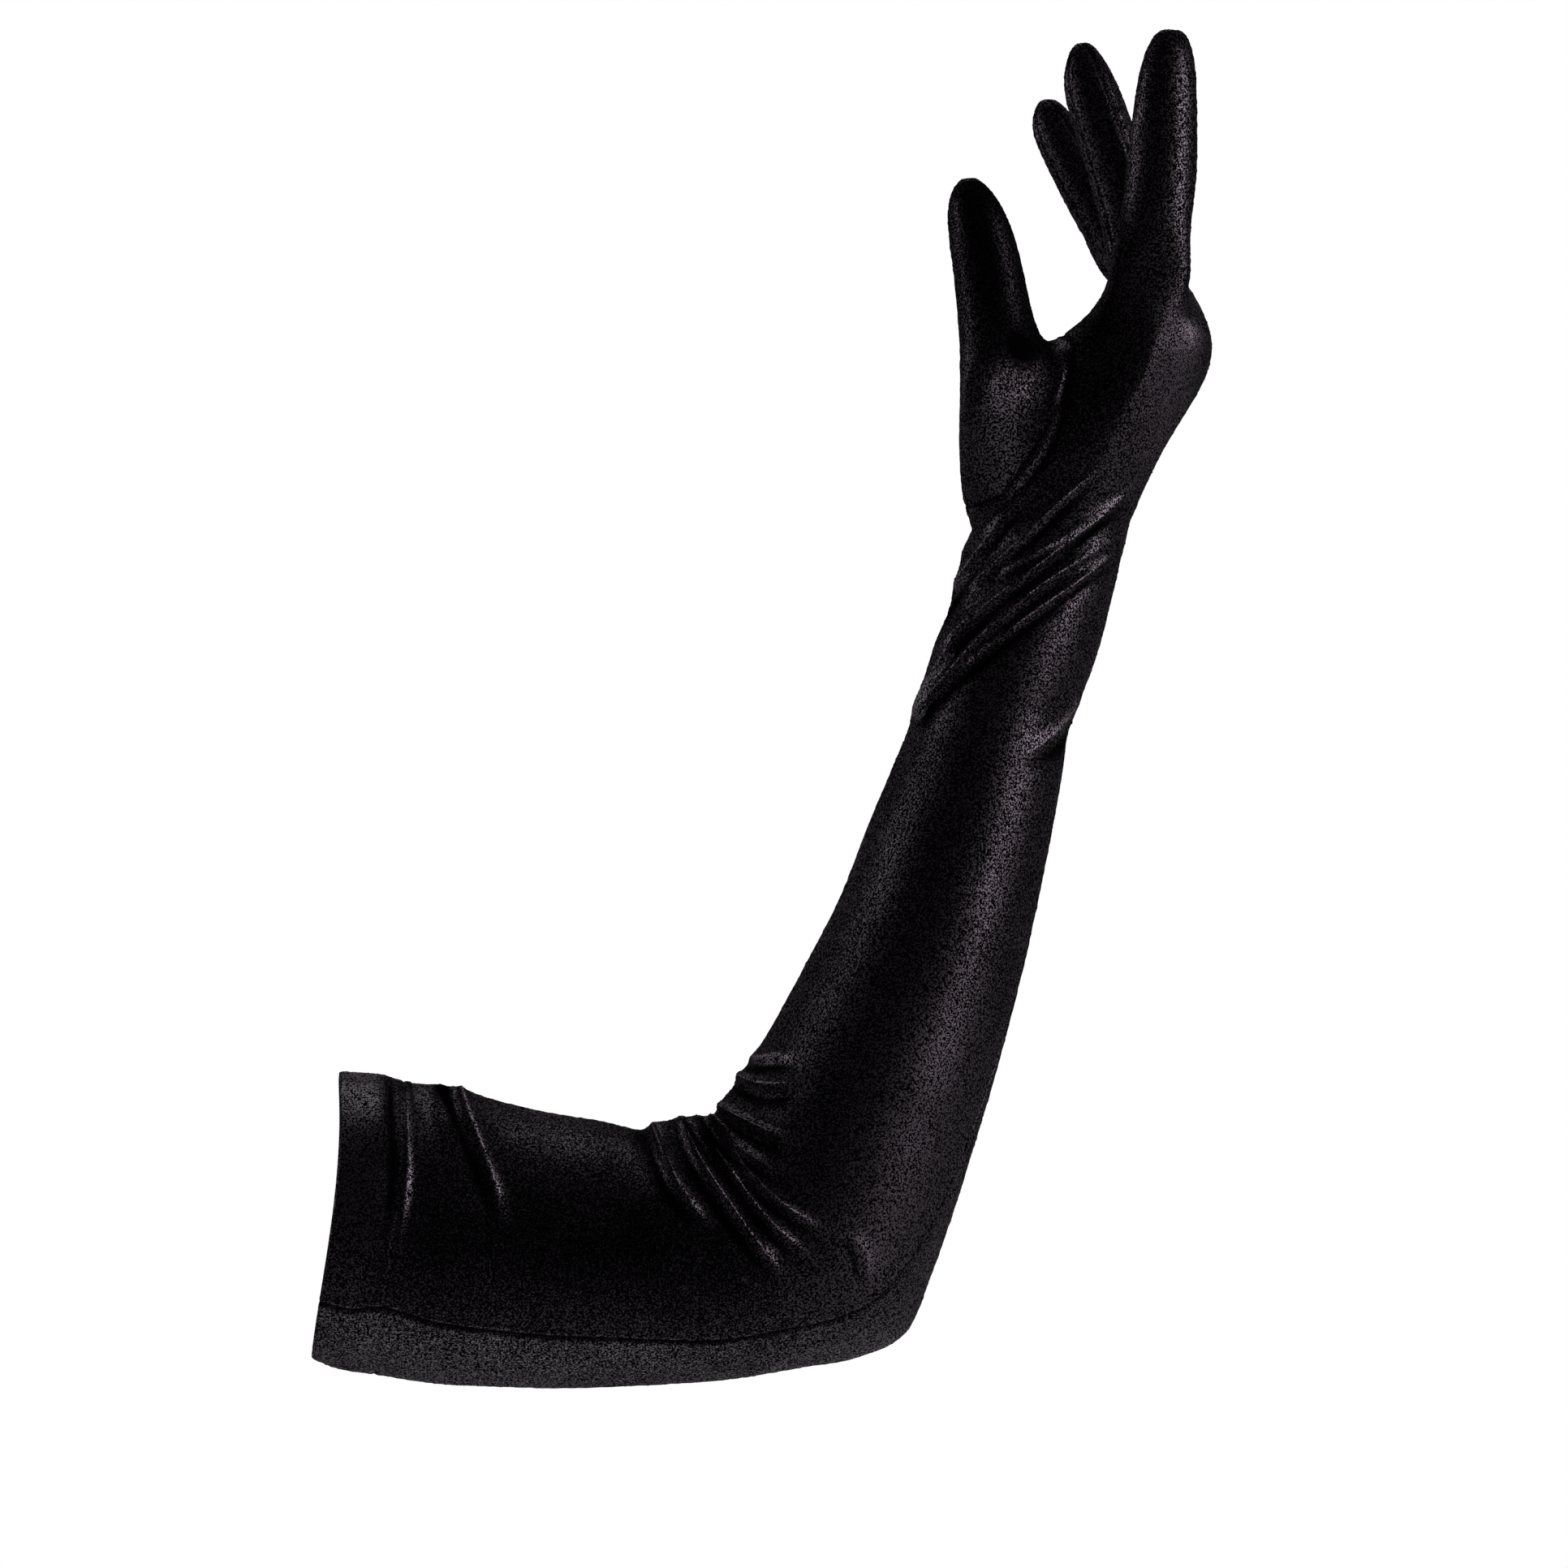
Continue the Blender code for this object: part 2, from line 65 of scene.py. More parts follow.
# %% [markdown]
# ## The sleeve
# A sleeve could be a bent cylinder, but this one is thicker at the elbow and flatter at the wrist. So
# it is a row of ovals instead. Each oval has a point on the inner side of the bend, a point on the outer
# side and a depth. "bow" sets the near and far sides of the oval back, which curves the cuff's edge.
# "seam" is the angle of the long side seam round the oval, and "step" is the distance between rings.

# %% Sections of the sleeve, in millimetres and degrees
SLEEVE = np.array([
    ("cuff_edge", 3.5, 45.5, -5.5, -46.5, 88, 3.2, -54, 0.6),
    ("hem_middle", 14.0, 44.5, 4.0, -50.0, 90, 3.5, -55, 0.6),
    ("hem_line", 24.0, 42.5, 14.5, -51.5, 90, 3.5, -58, 0.9),
    ("upper_1", 40.5, 40.0, 34.0, -54.5, 90, 2.0, -55, 1.1),
    ("upper_2", 56.0, 35.5, 53.5, -55.5, 88, 0.0, -54, 1.5),
    ("upper_3", 71.5, 32.0, 73.0, -56.0, 87, 0.0, -53, 1.5),
    ("upper_4", 87.0, 29.5, 92.5, -55.5, 86, 0.0, -52, 1.2),
    ("upper_5", 99.5, 27.0, 112.0, -54.5, 86, 0.0, -50, 0.9),
    ("crook_1", 107.0, 29.5, 130.0, -53.0, 86, 0.0, -47, 0.9),
    ("crook_2", 113.0, 30.5, 151.0, -49.5, 86, 0.0, -47, 0.9),
    ("crook_3", 119.0, 31.0, 170.0, -46.0, 85, 0.0, -48, 0.9),
    ("elbow", 123.0, 31.0, 185.0, -38.0, 85, 0.0, -47, 0.9),
    ("crook_4", 125.5, 34.5, 193.5, -18.5, 84, 0.0, -36, 0.9),
    ("crook_5", 128.5, 39.5, 201.0, 3.0, 84, 0.0, -27, 0.9),
    ("crook_6", 133.0, 46.0, 207.5, 24.0, 83, 0.0, -21, 1.1),
    ("forearm_1", 141.5, 59.0, 211.5, 37.0, 82, 0.0, -17, 1.6),
    ("forearm_2", 153.0, 80.0, 217.0, 57.0, 78, 0.0, -12, 1.8),
    ("forearm_3", 164.0, 101.5, 223.0, 81.0, 74, 0.0, -6, 1.8),
    ("forearm_4", 173.0, 124.5, 228.0, 104.5, 69, 0.0, 1, 1.6),
    ("forearm_5", 181.0, 143.5, 232.5, 126.5, 65, 0.0, 11, 1.2),
    ("gather_1", 185.5, 154.5, 235.5, 144.0, 62, 0.0, 21, 0.8),
    ("gather_2", 188.5, 163.5, 238.0, 158.0, 60, 0.0, 33, 0.8),
    ("gather_3", 191.0, 171.5, 243.5, 171.5, 59, 0.0, 46, 0.8),
    ("gather_4", 194.5, 183.0, 247.5, 183.5, 58, 0.0, 59, 0.8),
    ("gather_5", 198.5, 193.5, 250.5, 195.5, 57, 0.0, 70, 0.8),
    ("gather_6", 201.5, 203.5, 253.5, 208.0, 57, 0.0, 80, 0.8),
    ("wrist", 203.0, 212.0, 256.5, 221.0, 58, 0.0, 90, 0.8),
], dtype=[("name", "U12"), ("x_in", float), ("z_in", float), ("x_out", float), ("z_out", float),
          ("depth", float), ("bow", float), ("seam", float), ("step", float)])
HEM_ROW = 2
ELBOW_ROW = 11
SIDES = 320
SEAM_COLUMN = 160
# The bow is less by this share on the outer side of the bend, and more by it on the inner side.
BOW_SLANT = 0.5


def through_rows(values, at):
    """A smooth curve through the rows of values, read at the row numbers in at: the cubic Hermite
    curve whose slope at a row is half the difference of the rows before and after it."""
    values = np.asarray(values, float)
    row = np.clip(np.floor(at).astype(int), 0, len(values) - 2)
    part = (np.asarray(at, float) - row)[:, None]
    slope = np.gradient(values, axis=0)
    low, high = values[row], values[row + 1]
    return (low * (1 + 2 * part) * (1 - part) ** 2 + high * part ** 2 * (3 - 2 * part)
            + slope[row] * part * (1 - part) ** 2 - slope[row + 1] * part ** 2 * (1 - part))


def ring_places():
    """Row numbers of all rings: each stretch between two rows is cut into equal steps of about the
    row's step, measured along the middle line."""
    middle = np.column_stack([SLEEVE["x_in"] + SLEEVE["x_out"], SLEEVE["z_in"] + SLEEVE["z_out"]]) / 2
    length = np.linalg.norm(np.diff(middle, axis=0), axis=1)
    counts = np.ceil(length / SLEEVE["step"][:-1]).astype(int)
    return np.concatenate([row + np.arange(n) / n for row, n in enumerate(counts)] + [[len(counts)]])


def sleeve_rings(at):
    """Rings of the sleeve: middle + half the width * cos(turn), and half the depth * sin(turn). The
    turn starts so that the seam column stands at the seam's angle. The bow adds sin(turn)^2 of itself
    to x, less BOW_SLANT * cos(turn) of that."""
    names = ("x_in", "z_in", "x_out", "z_out", "depth", "bow", "seam")
    columns = np.column_stack([SLEEVE[name] for name in names])
    x_in, z_in, x_out, z_out, depth, bow, seam = through_rows(columns, at).T[:, :, None]
    turn = np.radians(seam) + 2 * np.pi * (np.arange(SIDES) - SEAM_COLUMN) / SIDES
    outwards = np.cos(turn)
    back = bow * np.sin(turn) ** 2 * (1 - BOW_SLANT * outwards)
    return np.stack([(x_in + x_out) / 2 + (x_out - x_in) / 2 * outwards + back,
                     depth / 2 * np.sin(turn),
                     (z_in + z_out) / 2 + (z_out - z_in) / 2 * outwards], axis=2)


def grid_faces(rows):
    """Faces between the given rows of the grid, where each row has SIDES points."""
    column = np.arange(SIDES)
    here, above = rows[:-1, None] * SIDES, rows[1:, None] * SIDES
    after = (column + 1) % SIDES
    return np.stack([here + column, here + after, above + after, above + column], axis=2).reshape(-1, 4)


at = ring_places()
rings = sleeve_rings(at)
print("sleeve:", len(at), "rings of", SIDES, "points")

# %% [markdown]
# ## The hand
# A hand branches into five digits, so one grid can't make it. A coarse cage of four-sided faces can,
# when it is subdivided: each step of Catmull-Clark cuts a face into four and rounds the form. The
# palm is a row of sections again, and each digit is a short tube on a hole of the cage. The step is
# written out here instead of using the modifier, so that the seams can be followed through it.

# %% Sections of the hand, in millimetres
HAND_COLUMNS = 20
HAND_TURN = np.radians(13.0)
HAND_SWELL = 1.017
PALM_POWER = 2.6
# A section has its point on the back, its point on the palm and its breadth. Then: how flat it is, how
# far it is turned, how much its little side drops and bends, and how far the palm's columns crowd.
HAND = np.array([
    ("wrist", 256.5, 221.0, 203.0, 212.0, 58, 0.0, 0.0, 0.0, 0.0, 0.0),
    ("heel", 261.5, 233.0, 209.0, 227.0, 63, 0.3, 0.3, 0.0, 0.0, 0.35),
    ("palm_1", 267.5, 247.0, 233.0, 248.0, 71, 0.7, 0.7, 1.0, 0.0, 0.55),
    ("palm_2", 274.0, 261.5, 242.0, 266.0, 77, 1.0, 1.0, 3.0, 0.0, 0.6),
    ("palm_3", 279.5, 274.0, 250.0, 282.0, 80, 1.0, 1.0, 6.0, 0.0, 0.5),
    ("knuckles", 281.5, 285.0, 254.0, 293.0, 80, 1.0, 1.0, 9.0, 2.0, 0.15),
    ("roots", 274.0, 299.0, 250.0, 304.0, 79, 1.0, 1.0, 10.0, 5.0, 0.0),
], dtype=[("name", "U12"), ("x_back", float), ("z_back", float), ("x_palm", float),
          ("z_palm", float), ("breadth", float), ("flat", float), ("turn", float),
          ("drop", float), ("bend", float), ("crowd", float)])

# Single points of the palm round the thumb: row of HAND, column, x, y, z. Columns 0 to 8 are the back
# from the index side to the little side, 9 the little edge, 10 to 18 the palm, 19 the index edge.
BALL = [
    (1, 18, 213.5, -27.0, 226.5), (1, 17, 202.0, -17.0, 223.0), (1, 16, 202.0, -7.0, 225.0),
    (2, 16, 212.0, 4.0, 246.0), (3, 16, 224.0, 6.0, 262.0), (4, 16, 236.0, 2.0, 277.0),
    (4, 17, 232.5, -10.0, 280.5), (4, 18, 235.5, -22.0, 277.0), (3, 18, 234.0, -31.0, 261.0),
    (2, 18, 228.0, -33.0, 245.5), (1, 19, 238.0, -31.0, 230.0), (2, 19, 248.0, -37.0, 246.0),
    (3, 19, 257.0, -40.0, 262.0), (4, 19, 262.0, -40.0, 277.0), (5, 18, 248.5, -32.0, 289.0),
    (5, 17, 247.5, -22.0, 291.0), (5, 16, 249.0, -12.0, 292.0), (6, 18, 251.0, -38.0, 303.0),
    (6, 17, 250.0, -31.0, 304.0), (6, 16, 250.5, -21.0, 303.5), (6, 0, 276.0, -37.0, 299.0),
    (6, 1, 277.5, -30.0, 299.5),
]
THUMB_LOOP = [(1, 17), (1, 18), (2, 18), (3, 18), (4, 18), (4, 17), (4, 16), (3, 16), (2, 16), (1, 16)]
THUMB_ROWS = (1, 2, 3)
THUMB_COLUMNS = (16, 17)
LITTLE_EDGE = 9
LAST_PALM = 18
INDEX_EDGE = 19
# The palm's columns that crowd towards the little edge, which gives the thumb's hole its room.
CROWDED = slice(10, 16)
# Where the nine columns of the back lie across it, from the index side to the little side.
ACROSS = np.array([-0.9, -0.72, -0.5, -0.25, 0, 0.25, 0.5, 0.72, 0.9])
FIRST_ANGLE = -72
BEND_START = -0.2
BEND_BACK = 0.4
DROP_POWER = 1.5


def hand_section(row):
    """The twenty points of one section: an oval (sin, cos) that goes over to a rounded box of power
    PALM_POWER as "flat" goes from 0 to 1, turned, then bent and lowered towards the little finger."""
    angle = np.radians(FIRST_ANGLE + 360 / HAND_COLUMNS * np.arange(HAND_COLUMNS))
    oval = np.column_stack([np.sin(angle), np.cos(angle)])
    rise = (1 - np.abs(ACROSS) ** PALM_POWER) ** (1 / PALM_POWER)
    palm = np.vstack([np.column_stack([ACROSS, rise]), [[1, 0]],
                      np.column_stack([ACROSS[::-1], -rise[::-1]]), [[-1, 0]]])
    side, face = (HAND_SWELL * (oval + (palm - oval) * row["flat"])).T
    side[CROWDED] += row["crowd"] * (ACROSS[8] - side[CROWDED]) / (ACROSS[8] - ACROSS[3])
    turn = HAND_TURN * row["turn"]
    back = np.array([row["x_back"], 0, row["z_back"]])
    front = np.array([row["x_palm"], 0, row["z_palm"]])
    middle, reach = (back + front) / 2, (back - front) / 2
    beside = np.array([np.sin(turn), np.cos(turn), 0]) * row["breadth"] / 2
    points = middle + face[:, None] * reach + side[:, None] * beside
    points[:, 1] -= face * np.sin(turn) * np.linalg.norm(reach)
    bend = row["bend"] * np.clip(side - BEND_START, 0, 1)
    points[:, 0] -= BEND_BACK * bend * (face + 1)
    points[:, 2] += bend * face - row["drop"] * np.clip(side, 0, 1) ** DROP_POWER
    return points


print("palm:", len(HAND), "sections of", HAND_COLUMNS, "points")

# %% [markdown]
# A digit is five rings. Each ring has its point on the palm side, its point on the back, its place
# in depth and its breadth, so that a bent finger is only a list of such rings.

# %% The digits, in millimetres
DIGIT_RINGS = np.array([
    ("index_finger", 252.0, 313.0, 275.0, 312.5, -33.5, 17.0),
    ("index_finger", 254.5, 331.5, 278.0, 331.5, -33.0, 18.5),
    ("index_finger", 256.5, 349.5, 277.5, 349.5, -33.5, 17.5),
    ("index_finger", 258.5, 365.0, 277.5, 365.0, -34.0, 16.0),
    ("index_finger", 263.5, 378.0, 274.5, 378.0, -34.0, 9.5),
    ("middle_finger", 248.5, 310.5, 268.5, 316.0, -11.5, 16.5),
    ("middle_finger", 243.5, 330.5, 262.0, 336.0, -11.5, 17.5),
    ("middle_finger", 238.0, 348.0, 256.0, 353.0, -12.0, 17.0),
    ("middle_finger", 234.0, 362.0, 250.5, 366.5, -12.0, 15.5),
    ("middle_finger", 237.8, 373.9, 243.8, 375.3, -12.0, 6.5),
    ("ring_finger", 245.5, 306.5, 262.5, 314.0, 10.5, 15.5),
    ("ring_finger", 236.0, 323.5, 252.0, 331.0, 11.0, 16.5),
    ("ring_finger", 229.0, 338.0, 243.5, 345.0, 11.5, 16.0),
    ("ring_finger", 224.5, 348.0, 238.5, 353.0, 12.0, 14.5),
    ("ring_finger", 227.3, 356.9, 232.7, 357.9, 12.0, 6.0),
    ("little_finger", 248.5, 300.0, 263.5, 306.0, 31.5, 14.0),
    ("little_finger", 243.5, 311.0, 257.0, 317.0, 31.0, 14.5),
    ("little_finger", 239.5, 321.0, 251.5, 327.0, 32.0, 14.0),
    ("little_finger", 236.5, 329.0, 247.0, 334.0, 33.0, 12.5),
    ("little_finger", 238.0, 335.3, 242.2, 337.2, 33.0, 5.5),
    ("thumb", 201.0, 246.0, 228.5, 278.0, -22.0, 33.0),
    ("thumb", 202.5, 273.0, 224.5, 289.0, -28.0, 27.0),
    ("thumb", 199.5, 303.0, 221.0, 308.0, -32.0, 22.5),
    ("thumb", 196.7, 321.2, 215.3, 323.0, -34.0, 18.3),
    ("thumb", 201.3, 330.3, 207.7, 330.6, -35.0, 6.5),
], dtype=[("digit", "U14"), ("x_palm", float), ("z_palm", float), ("x_back", float),
          ("z_back", float), ("y", float), ("breadth", float)])
FINGER_SWELL = 1.06
THUMB_SWELL = 1.05
THUMB_START = -90
WEB_DROP = 0.5
# Angles of a finger's eight columns, and the columns that carry a seam on each finger.
OCTAGON = np.radians([135, 90, 45, 0, -45, -90, -135, 180])
FINGER_SEAMS = {"index_finger": (2, 4), "middle_finger": (0, 2, 4, 6), "ring_finger": (0, 2, 4, 6),
                "little_finger": (0, 3, 6)}


def digit_rings(name, angles, swell, turn):
    """Rings of a digit: middle + swell * (sin(angle) * half thickness + cos(angle) * half breadth)."""
    rings = []
    for row in DIGIT_RINGS[DIGIT_RINGS["digit"] == name]:
        back = np.array([row["x_back"], row["y"], row["z_back"]])
        palm = np.array([row["x_palm"], row["y"], row["z_palm"]])
        reach = (back - palm) / 2
        reach[1] = -np.sin(turn) * np.linalg.norm(reach)
        beside = np.array([np.sin(turn), np.cos(turn), 0]) * row["breadth"] / 2
        around = np.sin(angles)[:, None] * reach + np.cos(angles)[:, None] * beside
        rings.append((back + palm) / 2 + swell * around)
    return np.array(rings)


class Cage:
    """Coarse points and faces, the piece that each face belongs to, and the pairs along seams."""

    def __init__(self, points):
        self.points, self.faces, self.tags, self.seams = list(points), [], [], []

    def add(self, face, tag):
        """One face of the piece named by the tag."""
        self.faces.append(face)
        self.tags.append(tag)

    def tube(self, root, rings, name, seam_columns=()):
        """A tube on the loop of point numbers in root, closed at its tip by a strip of faces."""
        sides, loop = len(root), list(root)
        for ring in rings:
            upper = list(range(len(self.points), len(self.points) + sides))
            self.points.extend(ring)
            for side in range(sides):
                after = (side + 1) % sides
                self.add((loop[side], loop[after], upper[after], upper[side]), name)
            self.seams += [(loop[side], upper[side]) for side in seam_columns]
            loop = upper
        for step in range(sides // 2 - 1):
            self.add((loop[step - 1], loop[step], loop[sides - 3 - step], loop[sides - 2 - step]), name)


def hand_cage():
    """The palm's sections with the thumb's hole, the four fingers on its end, and the thumb."""
    sections = np.array([hand_section(row) for row in HAND])
    for row, column, x, y, z in BALL:
        sections[row, column] = x, y, z
    cage, count = Cage(sections.reshape(-1, 3)), HAND_COLUMNS
    for row in range(len(HAND) - 1):
        for column in range(count):
            if row in THUMB_ROWS and column in THUMB_COLUMNS:
                continue
            here, after = row * count + column, row * count + (column + 1) % count
            cage.add((here, after, after + count, here + count), "hand")
        edge = row * count + LITTLE_EDGE
        cage.seams.append((edge, edge + count))
    end = (len(HAND) - 1) * count
    webs = [end + INDEX_EDGE]
    for number in (1, 2, 3):
        middle = (cage.points[end + 2 * number] + cage.points[end + LAST_PALM - 2 * number]) / 2
        webs.append(len(cage.points))
        cage.points.append(middle - np.array([0, 0, WEB_DROP]))
    webs.append(end + LITTLE_EDGE)
    for number, name in enumerate(FINGER_SEAMS):
        first = end + 2 * number
        last = end + LAST_PALM - 2 * number
        root = [first, first + 1, first + 2, webs[number + 1], last - 2, last - 1, last, webs[number]]
        cage.tube(root, digit_rings(name, OCTAGON, FINGER_SWELL, HAND_TURN), name, FINGER_SEAMS[name])
    root = [row * count + column for row, column in THUMB_LOOP]
    angles = np.radians(THUMB_START - 360 / len(root) * np.arange(len(root)))
    cage.tube(root, digit_rings("thumb", angles, THUMB_SWELL, 0.0), "thumb")
    cage.seams += list(zip(root, root[1:] + root[:1]))
    return cage


cage = hand_cage()
print("cage:", len(cage.faces), "faces,", len(cage.seams), "seam edges")

# %% [markdown]
# One subdivision step places a point in the middle of each face, a point on each edge, and moves the
# old points towards the average of what is round them. Four steps give faces under a millimetre,
# fine enough for a seam's groove.

# %% Subdivide the hand
SUBDIVISIONS = 4


def edges_of(faces):
    """The different edges of the faces, then for each corner of each face the number of its edge and
    the two ends of that edge in the face's own direction."""
    ends = np.stack([faces, np.roll(faces, -1, axis=1)], axis=2).reshape(-1, 2)
    scale = faces.max() + 1
    keys, number = np.unique(ends.min(axis=1) * scale + ends.max(axis=1), return_inverse=True)
    return np.column_stack([keys // scale, keys % scale]), number.reshape(-1), ends


def summed(index, values, count):
    """The sums of the rows of values that share an index."""
    return np.column_stack([np.bincount(index, values[:, axis], count) for axis in range(3)])


def subdivide(points, faces, tags, seams):
    """Catmull-Clark: face point = mean of corners, edge point = mean of ends and face points, old
    point = (mean of faces + 2 * mean of edges + (n - 3) * itself) / n. An open border is a curve."""
    edges, number, _ = edges_of(faces)
    count = len(points)
    centres = points[faces].mean(axis=1)
    uses = np.bincount(number, minlength=len(edges))
    middle = points[edges].mean(axis=1)
    near = summed(number, np.repeat(centres, 4, axis=0), len(edges))
    border = uses == 1
    edge_points = np.where(border[:, None], middle, (2 * middle + near) / 4)
    valence = np.bincount(faces.reshape(-1), minlength=count)[:, None]
    around = summed(faces.reshape(-1), np.repeat(centres, 4, axis=0), count)
    spokes = summed(edges.reshape(-1), np.repeat(middle, 2, axis=0), count)
    moved = (around / valence + 2 * spokes / valence + (valence - 3) * points) / valence
    rim = edges[border]
    rim_sum = summed(rim.reshape(-1), points[rim[:, ::-1].reshape(-1)], count)
    moved[rim] = 0.75 * points[rim] + rim_sum[rim] / 8
    by_face, centre = number.reshape(-1, 4) + count, np.arange(len(faces)) + count + len(edges)
    quads = [np.column_stack([faces[:, k], by_face[:, k], centre, by_face[:, k - 1]]) for k in range(4)]
    scale = faces.max() + 1
    keys = edges[:, 0] * scale + edges[:, 1]
    cut = np.searchsorted(keys, seams.min(axis=1) * scale + seams.max(axis=1)) + count
    seams = np.vstack([np.column_stack([seams[:, 0], cut]), np.column_stack([cut, seams[:, 1]])])
    return (np.vstack([moved, edge_points, centres]), np.stack(quads, axis=1).reshape(-1, 4),
            np.repeat(tags, 4), seams)


used, hand_faces = np.unique(np.array(cage.faces), return_inverse=True)
hand_faces = hand_faces.reshape(-1, 4)
hand_points = np.array(cage.points)[used]
hand_tags = np.array(cage.tags)
hand_seams = np.searchsorted(used, np.array(cage.seams))
for _ in range(SUBDIVISIONS):
    hand_points, hand_faces, hand_tags, hand_seams = subdivide(
        hand_points, hand_faces, hand_tags, hand_seams)
print("hand:", len(hand_faces), "faces,", len(hand_seams), "seam edges")

# %% [markdown]
# ## One surface
# The sleeve and the hand are one cloth, so they become one surface before any fold is made. The open
# border of the hand has as many points as a ring of the sleeve. The last rings are eased onto that
# border, and both then share its points.

# %% Join the sleeve and the hand
# The last millimetres of the sleeve, over which it is eased onto the hand.
EASE = 12.0


def ordered_border():
    """The hand's border points in the order of the sleeve's columns: sorted by angle round the wrist."""
    edges, number, _ = edges_of(hand_faces)
    border = np.unique(edges[np.bincount(number) == 1])
    wrist = SLEEVE[-1]
    middle = np.array([wrist["x_in"] + wrist["x_out"], 0, wrist["z_in"] + wrist["z_out"]]) / 2
    outwards = np.array([wrist["x_out"] - wrist["x_in"], 0, wrist["z_out"] - wrist["z_in"]]) / 2
    place = hand_points[border] - middle
    angle = np.arctan2(place[:, 1] / (wrist["depth"] / 2), place @ outwards / (outwards @ outwards))
    # Column 0 stands at -90 degrees here, so the order starts half a column before that.
    start = np.pi / 2 + np.pi / SIDES
    return border[np.argsort((angle + start) % (2 * np.pi))]


wrist_ring = ordered_border()
gap = hand_points[wrist_ring] - rings[-1]
to_wrist = np.linalg.norm(rings[:, 0] - rings[-1, 0], axis=1)
ease = np.clip(1 - to_wrist / EASE, 0, 1)
rings += (ease ** 2 * (3 - 2 * ease))[:, None, None] * gap
first_hand = (len(at) - 1) * SIDES
base = np.vstack([rings[:-1].reshape(-1, 3), hand_points])
join = np.concatenate([np.arange(first_hand), first_hand + wrist_ring])
sleeve_faces = join[grid_faces(np.arange(len(at)))]
faces = np.vstack([sleeve_faces, hand_faces + first_hand])
print("largest step between sleeve and hand before easing:", round(np.abs(gap).max(), 2), "mm")


def smooth_normals(points):
    """Unit normals: each face's cross product of diagonals, summed at its corners."""
    corners = points[faces]
    flat = np.cross(corners[:, 2] - corners[:, 0], corners[:, 3] - corners[:, 1])
    normals = summed(faces.reshape(-1), np.repeat(flat, 4, axis=0), len(points))
    return normals / np.maximum(np.linalg.norm(normals, axis=1, keepdims=True), 1e-9)


base_normals = smooth_normals(base)
print("surface:", len(base), "points,", len(faces), "faces")

# %% [markdown]
# ## Folds and gathers
# A cloth simulation could gather the sleeve, but the folds of this glove lie in known places. So each
# fold is a row of a table: three points of its crest as seen from the front, its height and the half
# width of the crest. "valley" is the side of its valley on the way from the first point to the last, 1
# for the right and -1 for the left, and "both" is 1 where the fold goes on round the far side. Where
# the cloth is caught in the elbow's crook and at the wrist, the crests are narrow and the valleys
# between them broad.

# %% Folds, in millimetres
FOLDS = np.array([
    ("hem_stitch", 24.5, 45.0, 26.0, 18.0, 23.0, -8.0, 0.8, 2.0, 1, 1),
    ("cuff_top", 27.0, 52.0, 29.5, 34.0, 31.0, 22.0, 0.35, 2.4, -1, 0),
    ("cuff_bump", 34.5, 56.0, 37.0, 38.0, 41.0, 22.0, 1.5, 4.0, 1, 0),
    ("cuff_fold", 39.5, 48.0, 49.0, 23.0, 57.5, 0.0, 1.4, 1.9, 1, 0),
    ("hem_bump", 17.0, 60.0, 18.0, 40.0, 18.0, 20.0, 0.9, 5.0, -1, 0),
    ("crook_a", 102.5, 31.0, 112.0, 11.5, 120.5, -2.0, 1.7, 2.0, 1, 1),
    ("crook_b", 111.5, 33.0, 128.5, 4.0, 146.0, -19.0, 2.3, 1.8, 1, 1),
    ("crook_c", 117.0, 33.0, 135.0, 6.5, 153.5, -12.0, 2.0, 1.6, 1, 1),
    ("crook_d", 121.0, 33.0, 138.5, 10.5, 157.0, -4.0, 2.0, 1.6, 1, 1),
    ("crook_e", 121.5, 32.0, 134.0, 20.0, 147.0, 13.5, 1.6, 1.6, 1, 1),
    ("crook_f", 123.5, 36.0, 138.0, 28.5, 152.0, 25.0, 2.0, 1.9, 1, 1),
    ("crook_g", 128.0, 45.0, 141.5, 42.0, 153.0, 43.0, 1.6, 2.0, 1, 1),
    ("crook_h", 131.0, 50.5, 141.5, 50.5, 149.5, 52.0, 0.9, 1.6, 1, 0),
    ("crook_i", 168.0, -6.0, 171.5, -13.0, 174.0, -21.0, 0.3, 1.5, 1, 0),
    ("wrist_1", 192.5, 187.0, 206.0, 209.5, 223.0, 230.5, 1.2, 1.3, 1, 0),
    ("wrist_2", 204.5, 200.0, 224.0, 218.0, 245.5, 238.0, 1.3, 1.3, 1, 0),
    ("wrist_3", 196.0, 182.0, 217.0, 199.0, 259.0, 234.0, 1.7, 1.5, 1, 1),
    ("wrist_4", 187.5, 158.0, 193.5, 173.0, 205.0, 189.0, 1.2, 1.4, 1, 0),
    ("wrist_5", 188.5, 160.5, 212.0, 187.5, 249.0, 214.5, 1.7, 1.5, 1, 1),
    ("wrist_6", 200.5, 172.0, 229.5, 195.5, 253.0, 212.5, 1.3, 1.4, 1, 1),
    ("wrist_7", 214.0, 204.0, 232.0, 215.0, 250.0, 227.0, 0.8, 1.2, 1, 0),
    ("thumb_seam", 235.5, 276.0, 228.5, 246.0, 211.0, 224.5, 0.55, 1.1, -1, 0),
    ("bulge", 241.5, 167.0, 233.0, 155.0, 221.0, 145.0, 0.8, 2.2, -1, 1),
], dtype=[("name", "U12"), ("x0", float), ("z0", float), ("x1", float), ("z1", float),
          ("x2", float), ("z2", float), ("height", float), ("width", float), ("valley", int),
          ("both", int)])
# The valley's depth beside the crest's height, and its place and width in half widths of the crest.
VALLEY_DEPTH = 0.5
VALLEY_STEP = 2.3
VALLEY_WIDTH = 1.35
CREST_POWER = 1.5
# A fold starts and ends softly, over these shares of its length and a little past its two ends.
START_EARLY = 0.08
START_LENGTH = 0.2
END_LATE = 1.1
END_LENGTH = 0.35
FADE_POWER = 1.5
